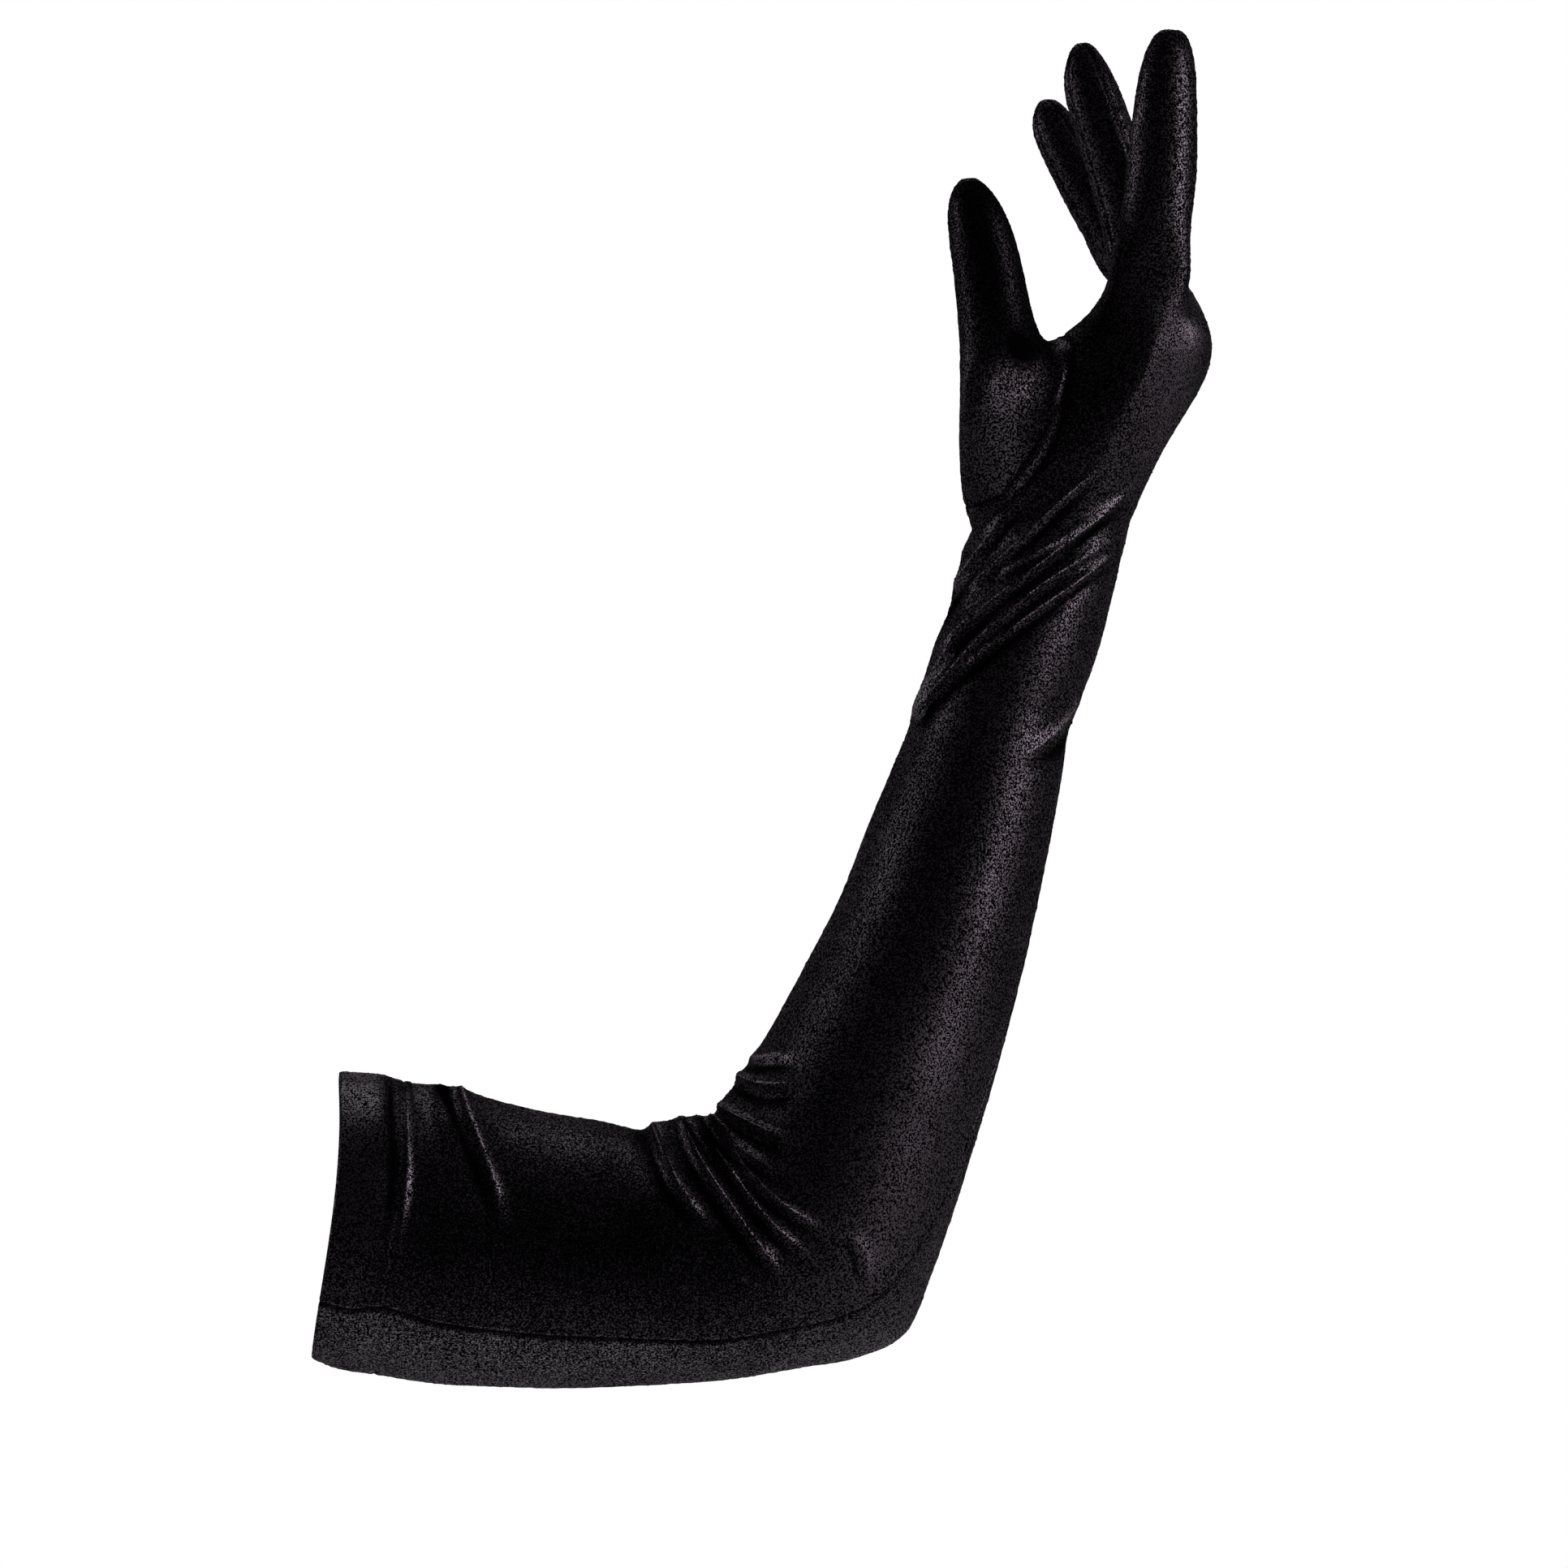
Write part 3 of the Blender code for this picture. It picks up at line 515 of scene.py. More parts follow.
# A crest wanders by this much, in millimetres, in waves that differ from fold to fold.
WANDER = 0.35
WANDER_WAVES = 7.0
WANDER_SHIFT = 2.1
# The near side ends where the normal's y passes NEAR_END, softly, and FAR_SIDE is a fold's share of
# its height beyond it.
NEAR_END = 0.35
NEAR_SOFT = 0.5
FAR_SIDE = 0.8
# Painted light on the folds: how dark the painted shade in a valley is beside the painted highlight on
# its crest. A fold whose half width is over NARROW gets less of both, by their ratio to this power.
VALLEY_SHADE = 0.9
NARROW = 2.2
NARROW_POWER = 4


def fold_relief(points, normals):
    """The relief in mm is the sum over the folds of height * (crest - valley) * fade. The crest is
    exp(-|offset / width|^1.5), the valley a wider bell beside it, and the offset is measured from a
    parabola through the points. Two more results are painted light: the crests from -1 to 1, a painted
    highlight on each crest and painted shade in its valley, and the ridges from 0 to 1, where the normal
    is bent for a painted highlight."""
    total = np.zeros(len(points))
    painted_fold_light = np.zeros(len(points))
    ridge_highlights = np.zeros(len(points))
    near = np.clip((NEAR_END - normals[:, 1]) / NEAR_SOFT, 0, 1)
    for number, fold in enumerate(FOLDS):
        start, end = np.array([fold["x0"], fold["z0"]]), np.array([fold["x2"], fold["z2"]])
        length = np.linalg.norm(end - start)
        along = (end - start) / length
        left = np.array([-along[1], along[0]])
        place = points[:, [0, 2]] - start
        part = place @ along / length
        bend = (np.array([fold["x1"], fold["z1"]]) - start) @ left * 4
        wander = WANDER * np.sin(WANDER_WAVES * part + WANDER_SHIFT * number)
        offset = (place @ left - bend * part * (1 - part) + wander) / fold["width"]
        crest = np.exp(-np.abs(offset) ** CREST_POWER)
        valley = np.exp(-((offset + fold["valley"] * VALLEY_STEP) / VALLEY_WIDTH) ** 2)
        fade = (np.clip((part + START_EARLY) / START_LENGTH, 0, 1)
                * np.clip((END_LATE - part) / END_LENGTH, 0, 1))
        side = np.maximum(near, FAR_SIDE * fold["both"])
        total += fold["height"] * (crest - VALLEY_DEPTH * valley) * fade ** FADE_POWER * side
        sharp = min(1, NARROW / fold["width"]) ** NARROW_POWER
        # Painted highlight on the crest and painted shade in its valley.
        painted_fold_light += sharp * (crest - VALLEY_SHADE * valley) * fade * side
        # Where a ridge's normal is bent for a painted highlight.
        ridge_highlights += sharp * min(1, fold["height"]) * np.exp(-offset ** 2) * fade * near
    return total, np.clip(painted_fold_light, -1, 1), np.clip(ridge_highlights, 0, 1)


relief, painted_fold_light, ridge_highlights = fold_relief(base, base_normals)
print("folds:", len(FOLDS), "and a relief from", relief.min().round(2), "to", relief.max().round(2), "mm")

# %% [markdown]
# ## Seams and hem
# A seam pulls the cloth in to a narrow groove with a soft roll on each side. The grid has a column
# that runs along the side seam, and the subdivision kept its edges on the seams of the hand, so the
# groove lies on real edges and stays sharp. Its depth depends on the distance to the seam alone.

# %% Grooves
GROOVE_WIDTH = 0.6
# The roll's height beside the groove's depth, and its place and width in groove widths.
GROOVE_ROLL = 0.3
ROLL_STEP = 2.6
ROLL_WIDTH = 1.5
SIDE_SEAM_DEPTH = 0.75
HAND_SEAM_DEPTH = 0.4
HEM_DEPTH = 0.4
HEM_PUCKER = 0.08
HEM_PUCKERS = 84
HEM_PUCKER_REACH = 1.8
BLOCK = 4096


def groove(distance, depth):
    """-depth * exp(-(d / w)^2), with a roll of GROOVE_ROLL * depth beside it at ROLL_STEP widths."""
    cut = np.exp(-(distance / GROOVE_WIDTH) ** 2)
    roll = np.exp(-((distance / GROOVE_WIDTH - ROLL_STEP) / ROLL_WIDTH) ** 2)
    return depth * (GROOVE_ROLL * roll - cut)


def distance_to(points, line):
    """Distance to the nearest point of the line, as |p|^2 + |q|^2 - 2 p.q, in blocks of points."""
    middle = line.mean(axis=0)
    line = line - middle
    nearest = np.empty(len(points))
    for first in range(0, len(points), BLOCK):
        block = points[first:first + BLOCK] - middle
        square = (block ** 2).sum(axis=1)[:, None] + (line ** 2).sum(axis=1) - 2 * block @ line.T
        nearest[first:first + BLOCK] = np.sqrt(np.maximum(square.min(axis=1), 0))
    return nearest


hem_ring = np.argmin(np.abs(at - HEM_ROW))
sleeve_rows = base[:first_hand].reshape(-1, SIDES, 3)
to_side_seam = np.linalg.norm(sleeve_rows - sleeve_rows[:, SEAM_COLUMN:SEAM_COLUMN + 1], axis=2)
to_hem = np.linalg.norm(sleeve_rows - sleeve_rows[hem_ring], axis=2)
hem_wave = np.sin(2 * np.pi * HEM_PUCKERS * np.arange(SIDES) / SIDES)
pucker = hem_wave * np.exp(-(to_hem / HEM_PUCKER_REACH) ** 2)
seam_points = base[first_hand + np.unique(hand_seams)]
to_hand_seam = distance_to(base[first_hand:], seam_points)
seam_distance = np.concatenate([to_side_seam.reshape(-1), to_hand_seam])
relief[:first_hand] += (groove(to_side_seam, SIDE_SEAM_DEPTH) + groove(to_hem, HEM_DEPTH)
                        + HEM_PUCKER * pucker).reshape(-1)
relief[first_hand:] += groove(to_hand_seam, HAND_SEAM_DEPTH)
print("seams:", len(seam_points), "points on the hand; hem", round(to_hem[0].mean(), 1), "mm wide")

# %% [markdown]
# The cuff's edge is a fold of the cloth, so it is round and thicker than the sleeve. The first rings
# follow a circle from near the middle of the wall out to its face.

# %% The cuff's rounded edge
WALL = 1.5
HEM_WALL = 2.4
# The circle is cut off at this share of its radius, before it is too steep for the rings.
BLUNT = 0.85
# The pile makes the outline rough by about this many millimetres.
FUZZ = 0.10
FUZZ_SEED = 7


def lip(distance, radius):
    """How far the surface stands back near a round edge: r * (1 - sqrt(1 - left^2)), where left is
    BLUNT * (1 - d / r)."""
    left = np.clip(1 - distance / radius, 0, 1) * BLUNT
    return radius * (1 - np.sqrt(1 - left ** 2))


from_edge = np.linalg.norm(sleeve_rows - sleeve_rows[0], axis=2)
rounded = np.zeros(len(base))
rounded[:first_hand] = lip(from_edge, HEM_WALL / 2).reshape(-1)
in_hem = np.arange(len(base)) < hem_ring * SIDES
smooth = base + base_normals * (relief - rounded)[:, None]
fuzz = np.random.default_rng(FUZZ_SEED).normal(0.0, FUZZ, len(base))
outer = smooth + base_normals * fuzz[:, None]
wall = np.where(in_hem, HEM_WALL, WALL)
inner = base - base_normals * (wall - rounded)[:, None]
normals = smooth_normals(smooth)
print("cuff edge is round over", HEM_WALL / 2, "mm")

# %% [markdown]
# ## Painted light on the pile
# A pile stands up and hides its own light, or lies over and shows its shining sides. Here painted
# highlights and painted shade are laid on it: in some places more or less of the glossy pile is seen,
# and its normal leans towards a light. These places are soft capsules between two points seen from the
# front, and they leave the back alone. The crests of the folds get a painted highlight and their valleys
# painted shade, and the seams are darker lines. Below the side seam the normals lean outwards, less and
# less towards the back, so that this panel catches more of the low light.

# %% Painted highlights and painted shade on the pile, in millimetres
PAINTED_LIGHT_PLACES = np.array([
    ("thumb", 208.0, 322.0, 219.0, 276.0, 12.0, -0.95, 0.0, 0.0),
    ("thumb_ball", 208.0, 260.0, 212.0, 236.0, 11.0, 0.60, 0.75, 0.15),
    ("web", 226.0, 274.0, 229.0, 258.0, 8.0, -0.30, 0.0, 0.0),
    ("palm", 243.0, 268.0, 231.0, 236.0, 9.0, -0.35, 0.0, 0.0),
    ("hand_back", 274.0, 280.0, 266.0, 243.0, 9.0, 1.50, -0.30, -0.60),
    ("index_back", 271.0, 372.0, 272.0, 322.0, 9.0, -0.20, 0.20, 0.0),
    ("middle_back", 246.0, 371.0, 256.0, 344.0, 5.0, 1.00, 0.25, 0.0),
    ("middle_palm", 235.0, 362.0, 248.0, 320.0, 3.0, 1.20, -0.15, 0.0),
    ("ring_palm", 225.0, 350.0, 247.0, 307.0, 3.0, 1.20, -0.15, 0.0),
    ("wrist_back", 262.0, 225.0, 236.0, 165.0, 14.0, 0.40, 0.05, 0.0),
    ("elbow", 196.0, 45.0, 178.0, -18.0, 23.0, 1.50, 0.03, 0.0),
    ("elbow_back", 216.0, 45.0, 205.0, 0.0, 8.0, 0.30, -0.20, -0.40),
    ("cuff", 8.0, 32.0, 10.0, 0.0, 12.0, 1.80, 0.0, 0.0),
    ("upper_sleeve", 30.0, -6.0, 128.0, -16.0, 26.0, -0.65, 0.0, 0.0),
], dtype=[("name", "U12"), ("x0", float), ("z0", float), ("x1", float), ("z1", float),
          ("reach", float), ("change", float), ("lean_x", float), ("lean_y", float)])
# The painted places fade out on the back as the normal's y goes from 0 to this value.
BACK_TURN = 0.6
SHINE = 0.7
CREST_SHINE = 1.1
SEAM_SHADE = 0.9
SEAM_WIDTH = 0.9
LEAN = 0.50
# The leaning panel ends at this row of the sleeve. It fades over LEAN_FADE rows before its end, and
# over BACK_FADE columns towards the back.
LEAN_END = 16.0
LEAN_FADE = 4.0
BACK_FADE = 100
# Painted highlights on the ridges: a ridge's normal is bent towards RIDGE_RIGHT, which mirrors the right
# light into the camera, on the side that faces that light, and towards RIDGE_LEFT elsewhere.
RIDGE_LEAN = 0.85
RIDGE_SOFT = 0.3
RIGHT_LIGHT = (0.93, -0.35, 0.12)
RIDGE_RIGHT = (0.56, -0.83, 0.05)
RIDGE_LEFT = (-0.70, -0.70, 0.12)


def painted_light_places(points, normals):
    """Painted highlight and painted shade: the sum of the change and of the two leans, each times
    exp(-(d / reach)^2), with the distance d to the segment seen from the front, and nothing on the back.
    Returns the sum of the changes and the sum of the leans."""
    total = np.zeros((len(points), 3))
    front = np.clip((BACK_TURN - normals[:, 1]) / BACK_TURN, 0, 1)
    for row in PAINTED_LIGHT_PLACES:
        start, end = np.array([row["x0"], row["z0"]]), np.array([row["x1"], row["z1"]])
        place, way = points[:, [0, 2]] - start, end - start
        part = np.clip(place @ way / (way @ way), 0, 1)
        near = front * np.exp(-((place - part[:, None] * way) ** 2).sum(axis=1) / row["reach"] ** 2)
        total += near[:, None] * np.array([row["change"], row["lean_x"], row["lean_y"]])
    return total[:, 0], total[:, 1:]


# Painted highlights and painted shade: the change raises or lowers the share of glossy pile, and the
# leans bend its normal towards a light.
change, leaning = painted_light_places(base, base_normals)
# Painted highlight and painted shade: the painted places and the folds' crests and valleys raise or lower
# the share of glossy pile, and the seams are darker lines.
shine = SHINE * (1 + change) * (1 + CREST_SHINE * painted_fold_light)
shine *= 1 - SEAM_SHADE * np.exp(-(seam_distance / SEAM_WIDTH) ** 2)
across = rings[:, SEAM_COLUMN] - rings.mean(axis=1)
across[:, 1] = 0
across /= np.linalg.norm(across, axis=1, keepdims=True)
highlight_lean = np.column_stack([leaning, np.zeros(len(base))])
columns = np.arange(SIDES)
panel = ((columns > SEAM_COLUMN) * np.clip((SIDES - columns) / BACK_FADE, 0, 1))[None, :, None]
fading = np.clip((LEAN_END - at) / LEAN_FADE, 0, 1)[:, None, None]
# Painted highlights: the normals of the ridges are bent towards the lights, and the panel below the side
# seam leans outwards to catch the low light.
turned = np.clip(base_normals @ np.array(RIGHT_LIGHT) / RIDGE_SOFT, 0, 1)[:, None]
ridge_way = turned * np.array(RIDGE_RIGHT) + (1 - turned) * np.array(RIDGE_LEFT)
highlight_lean += (RIDGE_LEAN * ridge_highlights)[:, None] * (ridge_way - base_normals)
highlight_lean[:first_hand] += (LEAN * panel * fading * across[:, None])[:-1].reshape(-1, 3)
print("pile shine from", shine.min().round(2), "to", shine.max().round(2))

# %% [markdown]
# ## From one surface to the real pieces
# Each piece is a closed wall: its part of the surface, a plain inner face, and narrow bands that join
# the two at every open edge. The inner face carries no folds, so it takes only every fourth ring of
# the sleeve. Normals are worked out on the whole surface and given to the pieces, which
# hides the joints of what is one cloth in the real glove.

# %% Make the pieces
INNER_STEP = 4
elbow_ring = np.argmin(np.abs(at - ELBOW_ROW))


def rows_between(first, last, step=1):
    """Ring numbers from first to last, both included, in steps."""
    return np.unique(np.append(np.arange(first, last, step), last))


def band_between(outside, count):
    """Faces that join each open edge of the outside to the same edge of the inside."""
    edges, number, ends = edges_of(outside)
    start, stop = ends[(np.bincount(number) == 1)[number]].T
    return np.column_stack([stop, start, start + count, stop + count])


def make_piece(name, outside, inside, materials, node):
    """A closed mesh of the outside, the turned inside and the bands. Point n of the inside is
    numbered n + the number of surface points until the unused ones are dropped."""
    count = len(base)
    quads = np.vstack([outside, band_between(outside, count), inside[:, ::-1] + count])
    slot = np.repeat([0, len(materials) - 1], [len(quads) - len(inside), len(inside)])
    kept, quads = np.unique(quads, return_inverse=True)
    quads = quads.reshape(-1, 4)
    points = np.vstack([outer, inner])[kept] * MM
    directions = np.vstack([normals, -base_normals])[kept]
    mesh = bpy.data.meshes.new(name)
    mesh.vertices.add(len(points))
    mesh.vertices.foreach_set("co", points.ravel())
    mesh.loops.add(quads.size)
    mesh.loops.foreach_set("vertex_index", quads.ravel())
    mesh.polygons.add(len(quads))
    mesh.polygons.foreach_set("loop_start", np.arange(len(quads)) * 4)
    for material in materials:
        mesh.materials.append(material)
    mesh.polygons.foreach_set("material_index", slot)
    mesh.polygons.foreach_set("use_smooth", np.ones(len(quads), bool))
    mesh.update(calc_edges=True)
    mesh.normals_split_custom_set_from_vertices(directions)
    shine_layer = mesh.attributes.new("shine", "FLOAT", "POINT")
    shine_layer.data.foreach_set("value", np.append(shine, shine)[kept].astype(np.float32))
    lean_layer = mesh.attributes.new("highlight_lean", "FLOAT_VECTOR", "POINT")
    lean_layer.data.foreach_set("vector", np.vstack([highlight_lean, 0 * highlight_lean])[kept].astype(np.float32).ravel())
    piece = bpy.data.objects.new(name, mesh)
    bpy.context.scene.collection.objects.link(piece)
    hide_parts(node)
    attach(piece, "root")
    print(name, "-", 2 * len(quads), "triangles")


print("the sleeve is cut at rings", hem_ring, "and", elbow_ring)

# %% [markdown]
# ## Velvet
# Velvet is a knitted ground with a short pile that stands up from it. Looking straight down into the
# pile it is almost black, and where the fibres show their sides they shine. A sheen layer alone can't
# do that: it lights every edge alike. So the material mixes two surfaces, a dark one and a glossy one,
# and the pile's grain and the painted highlights and shade say how much of the glossy one is seen.
# Where a highlight is painted, the normal also leans, so that it catches another light. A slight sheen
# stays for the edges, and a fine bump breaks the highlights up into tufts.

# %% A small language for shader maths


class Wire:
    """One value in a shader. Arithmetic on it adds Math nodes to the same material."""

    def __init__(self, shader, socket):
        self.shader, self.socket = shader, socket

    def __add__(self, other):
        return self.shader.math("ADD", self, other)

    def __mul__(self, other):
        return self.shader.math("MULTIPLY", self, other)

    __radd__, __rmul__ = __add__, __mul__


class Shader:
    """A material whose nodes are added by name."""

    def __init__(self, name):
        self.material = bpy.data.materials.new(name)
        self.material.use_nodes = True
        self.nodes, self.links = self.material.node_tree.nodes, self.material.node_tree.links
        self.surface = self.nodes["Principled BSDF"]

    def feed(self, socket, value):
        """Links a wire to the socket, or sets the socket to a plain value."""
        if isinstance(value, Wire):
            self.links.new(value.socket, socket)
        else:
            socket.default_value = value

    def node(self, kind, output, settings=None, inputs=None):
        """Adds a node, makes its settings first, fills its sockets and returns one output."""
        node = self.nodes.new("ShaderNode" + kind)
        for name, value in (settings or {}).items():
            setattr(node, name, value)
        for name, value in (inputs or {}).items():
            self.feed(node.inputs[name], value)
        return Wire(self, node.outputs[output])

    def math(self, operation, first, second):
        """One Math node on two values."""
        return self.node("Math", 0, {"operation": operation}, {0: first, 1: second})

    def noise(self, place, scale, detail, roughness=0.5):
        """Soft noise around 0.5, with features about 1 / scale wide."""
        return self.node("TexNoise", "Fac", None, {
            "Vector": place, "Scale": scale, "Detail": detail, "Roughness": roughness})

    def spread(self, value, low, high):
        """0 below low, 1 above high, and a smooth step between."""
        return self.node("MapRange", "Result", {"interpolation_type": "SMOOTHSTEP"},
                         {"Value": value, "From Min": low, "From Max": high})

    def blend(self, share, first, second):
        """first * (1 - share) + second * share, for colours."""
        return self.node("Mix", 2, {"data_type": "RGBA"}, {0: share, 6: first, 7: second})

    def constants(self, **values):
        """Sets sockets of the surface, named with underscores for their spaces."""
        for name, value in values.items():
            self.surface.inputs[name.replace("_", " ")].default_value = value


print("shader maths: a wire can be added and multiplied")

# %% [markdown]
# The pattern scales are real sizes. The grain is under a millimetre, the tufts are about two, and the
# patches where the pile lies a little differently are about a centimetre and a half. The grain lets
# the glossy pile through in spots, so it sparkles where light reaches it and leaves the rest black.
# What is the same everywhere, such as the sheen, is set on the shader itself.

# %% The velvet and its back
PER_METRE = 1 / MM
GRAIN = PER_METRE / 0.6
TUFTS = PER_METRE / 2.2
PATCHES = PER_METRE / 16
# The glossy pile shows where the grain is between these two values and above.
GRAIN_LOW = 0.45
GRAIN_HIGH = 0.74
LIT_SHARE = 2.8
PATCH_LOW = 0.2
PATCH_HIGH = 0.8
PATCH_LEAST = 0.7
PATCH_CHANGE = 0.6
GLOSS_ROUGHNESS = 0.34
TUFT_ROUGHNESS = 0.16
DARK_ROUGHNESS = 0.9
BUMP_DEPTH = 0.3 * MM
BUMP_STRENGTH = 0.6
GRAIN_HEIGHT = 0.6
TUFT_HEIGHT = 0.5
PILE_BLACK = (0.0007, 0.0006, 0.0008, 1)
GLOSS_TINT = (1.0, 0.80, 1.0, 1)
SHEEN_TINT = (1.0, 0.78, 0.98, 1)


def velvet():
    """Dark pile mixed with glossy pile by grain * patches * shine, where shine holds the painted
    highlights and painted shade of the folds and the painted places, and the darker seams. The normal is
    the bump's normal + the lean painted for highlights, made one long again."""
    shader = Shader("black_velvet")
    place = shader.node("TexCoord", "Object")
    grain = shader.noise(place, GRAIN, 1.5, 0.6)
    tufts = shader.noise(place, TUFTS, 2.0)
    patches = shader.noise(place, PATCHES, 2.0)
    # The painted highlights and painted shade, and the normals bent for painted highlights.
    shine = shader.node("Attribute", "Fac", {"attribute_name": "shine"})
    highlight_lean = shader.node("Attribute", "Vector", {"attribute_name": "highlight_lean"})
    lit = shader.spread(grain, GRAIN_LOW, GRAIN_HIGH) * LIT_SHARE
    lit *= PATCH_LEAST + PATCH_CHANGE * shader.spread(patches, PATCH_LOW, PATCH_HIGH)
    lit *= shine
    shader.feed(shader.surface.inputs["Roughness"], GLOSS_ROUGHNESS + TUFT_ROUGHNESS * tufts)
    bump = shader.node("Bump", "Normal", None, {
        "Strength": BUMP_STRENGTH, "Distance": BUMP_DEPTH,
        "Height": grain * GRAIN_HEIGHT + tufts * TUFT_HEIGHT})
    leaning = shader.node("VectorMath", "Vector", {"operation": "ADD"}, {0: bump, 1: highlight_lean})
    normal = shader.node("VectorMath", "Vector", {"operation": "NORMALIZE"}, {0: leaning})
    shader.feed(shader.surface.inputs["Normal"], normal)
    shader.constants(Base_Color=PILE_BLACK, Specular_IOR_Level=0.5, Specular_Tint=GLOSS_TINT,
                     Sheen_Weight=0.10, Sheen_Roughness=0.4, Sheen_Tint=SHEEN_TINT)
    dark = shader.node("BsdfPrincipled", 0, None, {
        "Base Color": PILE_BLACK, "Specular IOR Level": 0.0, "Roughness": DARK_ROUGHNESS})
    glossy = Wire(shader, shader.surface.outputs[0])
    mixed = shader.node("MixShader", 0, None, {0: lit, 1: dark, 2: glossy})
    shader.feed(shader.nodes["Material Output"].inputs["Surface"], mixed)
    return shader.material


# The wave repeats every 0.314 / scale, which makes the ribs of the back 6.3 mm wide.
RIBS = PER_METRE / 20
RIB_SHARE = 0.6
FLUFF_SHARE = 0.3
FLUFF_HEIGHT = 0.5
BACK_ROUGHNESS = 0.8
FLUFF_ROUGHNESS = 0.15
BACK_STRENGTH = 0.5
BACK_DARK = (0.004, 0.0035, 0.004, 1)
BACK_LIGHT = (0.016, 0.014, 0.016, 1)


def knitted_back():
    """The inside of the sleeve has no pile: ribs that run along it, as a wave across its depth, with
    a little fluff."""
    shader = Shader("knitted_back")
    place = shader.node("TexCoord", "Object")
    ribs = shader.node("TexWave", "Fac", {"wave_type": "BANDS", "bands_direction": "Y"},
                       {"Vector": place, "Scale": RIBS, "Distortion": 0.6, "Detail": 1.0})
    fluff = shader.noise(place, GRAIN, 2.0)
    shade = ribs * RIB_SHARE + fluff * FLUFF_SHARE
    shader.feed(shader.surface.inputs["Base Color"], shader.blend(shade, BACK_DARK, BACK_LIGHT))
    shader.feed(shader.surface.inputs["Roughness"], BACK_ROUGHNESS + FLUFF_ROUGHNESS * fluff)
    bump = shader.node("Bump", "Normal", None, {
        "Strength": BACK_STRENGTH, "Distance": BUMP_DEPTH, "Height": ribs + fluff * FLUFF_HEIGHT})
    shader.feed(shader.surface.inputs["Normal"], bump)
    shader.constants(Specular_IOR_Level=0.1, Sheen_Weight=0.1, Sheen_Roughness=0.5)
    return shader.material


pile, back = velvet(), knitted_back()
print("materials:", pile.name, "and", back.name)

# %% [markdown]
# ## The cloth on the pieces
# Each piece takes its own faces of the one surface: the hem and the sleeves take the rings between two
# cuts, and the hand and the digits the faces with their name. The hem is cloth turned over, so it has
# pile on both sides, and the rest shows the knitted back inside.

# %% Put the cloth on the pieces
SLEEVE_PIECES = {"cuff_hem": (0, hem_ring), "upper_sleeve": (hem_ring, elbow_ring),
                 "forearm_sleeve": (elbow_ring, len(at) - 1)}
for node, (first, last) in SLEEVE_PIECES.items():
    outside = join[grid_faces(rows_between(first, last))]
    inside = join[grid_faces(rows_between(first, last, INNER_STEP))]
    lining = [pile] if node == "cuff_hem" else [pile, back]
    make_piece("velvet_" + node, outside, inside, lining, node)
for node in ("hand", "thumb") + tuple(FINGER_SEAMS):
    outside = hand_faces[hand_tags == node] + first_hand
    make_piece("velvet_" + node, outside, outside, [pile, back], node)

# %% [markdown]
# ## Floor, light and camera
# The glove is held up by its opening, over a pale floor. A strong disc light on the right and a weaker
# one on the left leave the middle of the cloth dark and light its edges, and two more light it a
# little from above and below. The white room and the floor's glow are for the camera: the cloth gets
# only a little of that white, and stays black. The camera is level and far away, with a long lens, so
# that the glove's outline is nearly that of a drawing.

# %% Floor and surroundings
FLOOR_HEIGHT = -0.8
FLOOR_RADIUS = 3.4
FLOOR_SIDES = 96
FLOOR_COLOUR = (0.86, 0.86, 0.87, 1)
FLOOR_GLOW = (0.66, 0.66, 0.67, 1)
NO_GLOW = (0.0, 0.0, 0.0, 1)
angles = 2 * np.pi * np.arange(FLOOR_SIDES) / FLOOR_SIDES
disc = np.column_stack([FLOOR_RADIUS * np.cos(angles), FLOOR_RADIUS * np.sin(angles),
                        np.full(FLOOR_SIDES, FLOOR_HEIGHT)])
floor_mesh = bpy.data.meshes.new("floor")
floor_mesh.from_pydata(disc.tolist(), [], [list(range(FLOOR_SIDES))])
floor = bpy.data.objects.new("floor", floor_mesh)
bpy.context.scene.collection.objects.link(floor)
pale = Shader("pale_floor")
pale.constants(Base_Color=FLOOR_COLOUR, Roughness=0.8, Specular_IOR_Level=0.2,
               Emission_Strength=1.0)
seen = pale.node("LightPath", "Is Camera Ray")
pale.feed(pale.surface.inputs["Emission Color"], pale.blend(seen, NO_GLOW, FLOOR_GLOW))
floor_mesh.materials.append(pale.material)
floor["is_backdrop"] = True

# The share of the room's white that reaches the cloth.
WORLD_LIGHT = 0.09
world = bpy.data.worlds.new("white_room")
bpy.context.scene.world = world
world.use_nodes = True
nodes, links = world.node_tree.nodes, world.node_tree.links
camera_ray = nodes.new("ShaderNodeLightPath")
strength = nodes.new("ShaderNodeMapRange")
strength.inputs["To Min"].default_value = WORLD_LIGHT
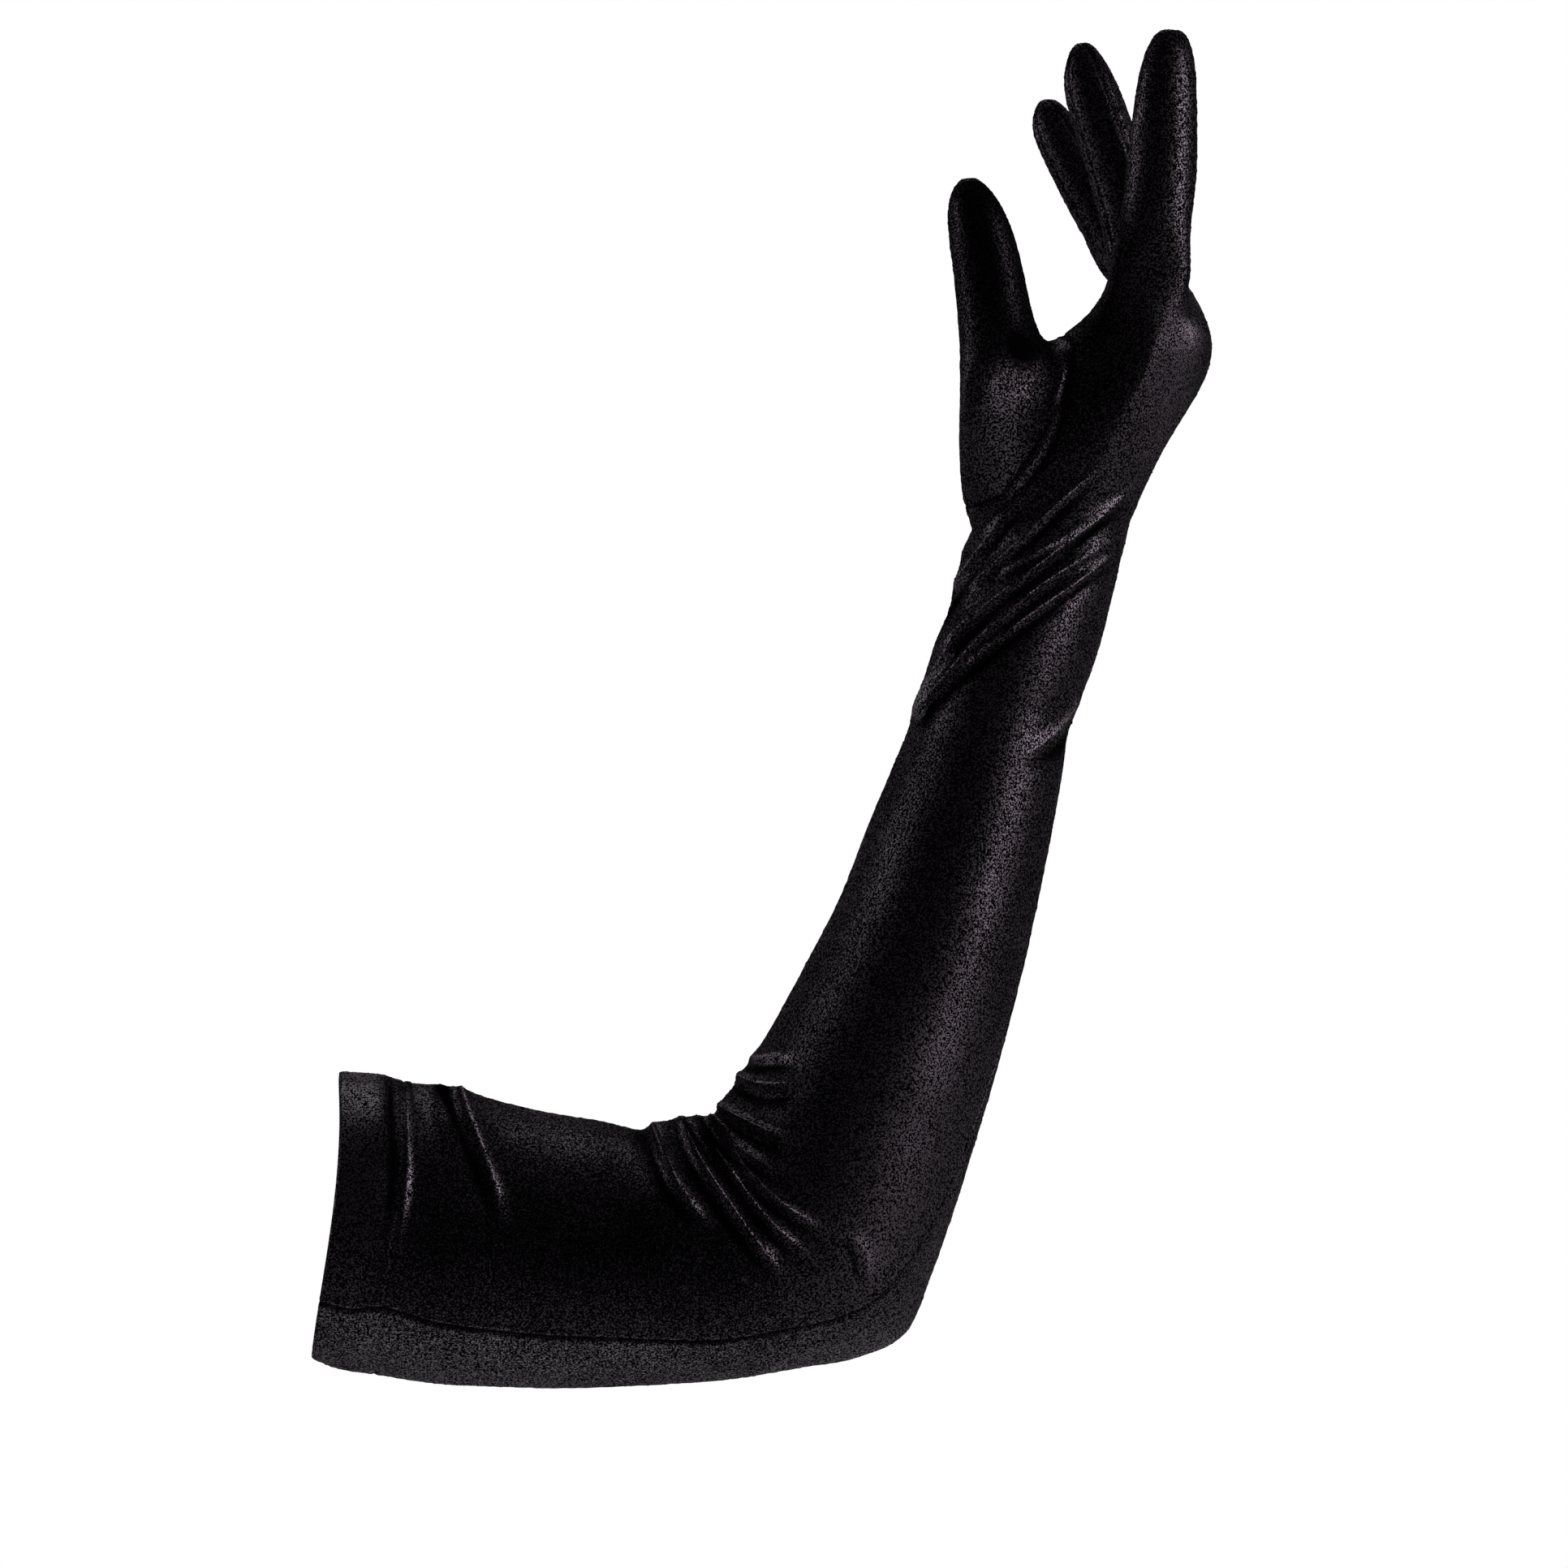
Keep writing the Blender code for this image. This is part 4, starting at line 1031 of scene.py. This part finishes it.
strength.inputs["To Max"].default_value = 1.0
links.new(camera_ray.outputs["Is Camera Ray"], strength.inputs["Value"])
links.new(strength.outputs["Result"], nodes["Background"].inputs["Strength"])
nodes["Background"].inputs["Color"].default_value = (1, 1, 1, 1)
bpy.context.scene.view_settings.view_transform = "Standard"
print("floor at", FLOOR_HEIGHT, "m")

# %% [markdown]
# Each light is a disc that points at the middle of the glove, and its place is given beside that
# middle. The camera can't see the discs, only what they light.

# %% Lights and camera
TARGET = np.array([145.9, 0.0, 137.5]) * MM
# Each light: name, place beside the target in metres, size in metres, power in watts.
LIGHTS = [
    ("right_light", (1.87, -0.70, 0.25), 0.8, 38),
    ("left_light", (-1.97, 0.05, 0.35), 0.8, 14),
    ("top_light", (-0.3, 0.7, 1.9), 1.2, 12),
    ("low_light", (-0.1, 0.2, -0.85), 0.6, 1.1),
]


def aimed(name, data, place):
    """An object at the place beside the target, turned towards the target."""
    thing = bpy.data.objects.new(name, data)
    bpy.context.scene.collection.objects.link(thing)
    thing.location = TARGET + np.array(place)
    way = Vector([-part for part in place])
    thing.rotation_euler = way.to_track_quat("-Z", "Y").to_euler()
    return thing


for name, place, size, power in LIGHTS:
    light = bpy.data.lights.new(name, "AREA")
    light.shape, light.size, light.energy = "DISK", size, power
    aimed(name, light, place).visible_camera = False

CAMERA_AWAY = 5.0
PHOTO_PIXELS = 1932
PIXEL_SIZE = 0.26
FRAME_WIDTH = PHOTO_PIXELS * PIXEL_SIZE * MM
camera = bpy.data.cameras.new("camera")
camera.lens = camera.sensor_width * CAMERA_AWAY / FRAME_WIDTH
bpy.context.scene.camera = aimed("camera", camera, (0, -CAMERA_AWAY, 0))
print("lens:", round(camera.lens), "mm")

# %% [markdown]
# ## The sizes
# The finer cloth has to fill the same box as the plain solids, so both boxes are kept and the finer one's
# size is printed.

# %% Gather the sizes and finish
sizes = {"cad": [list(corner) for corner in cad_box],
         "visual": [list(corner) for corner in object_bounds()]}
print("visual size in mm:", [round((high - low) / MM, 1) for low, high in zip(*sizes["visual"])])
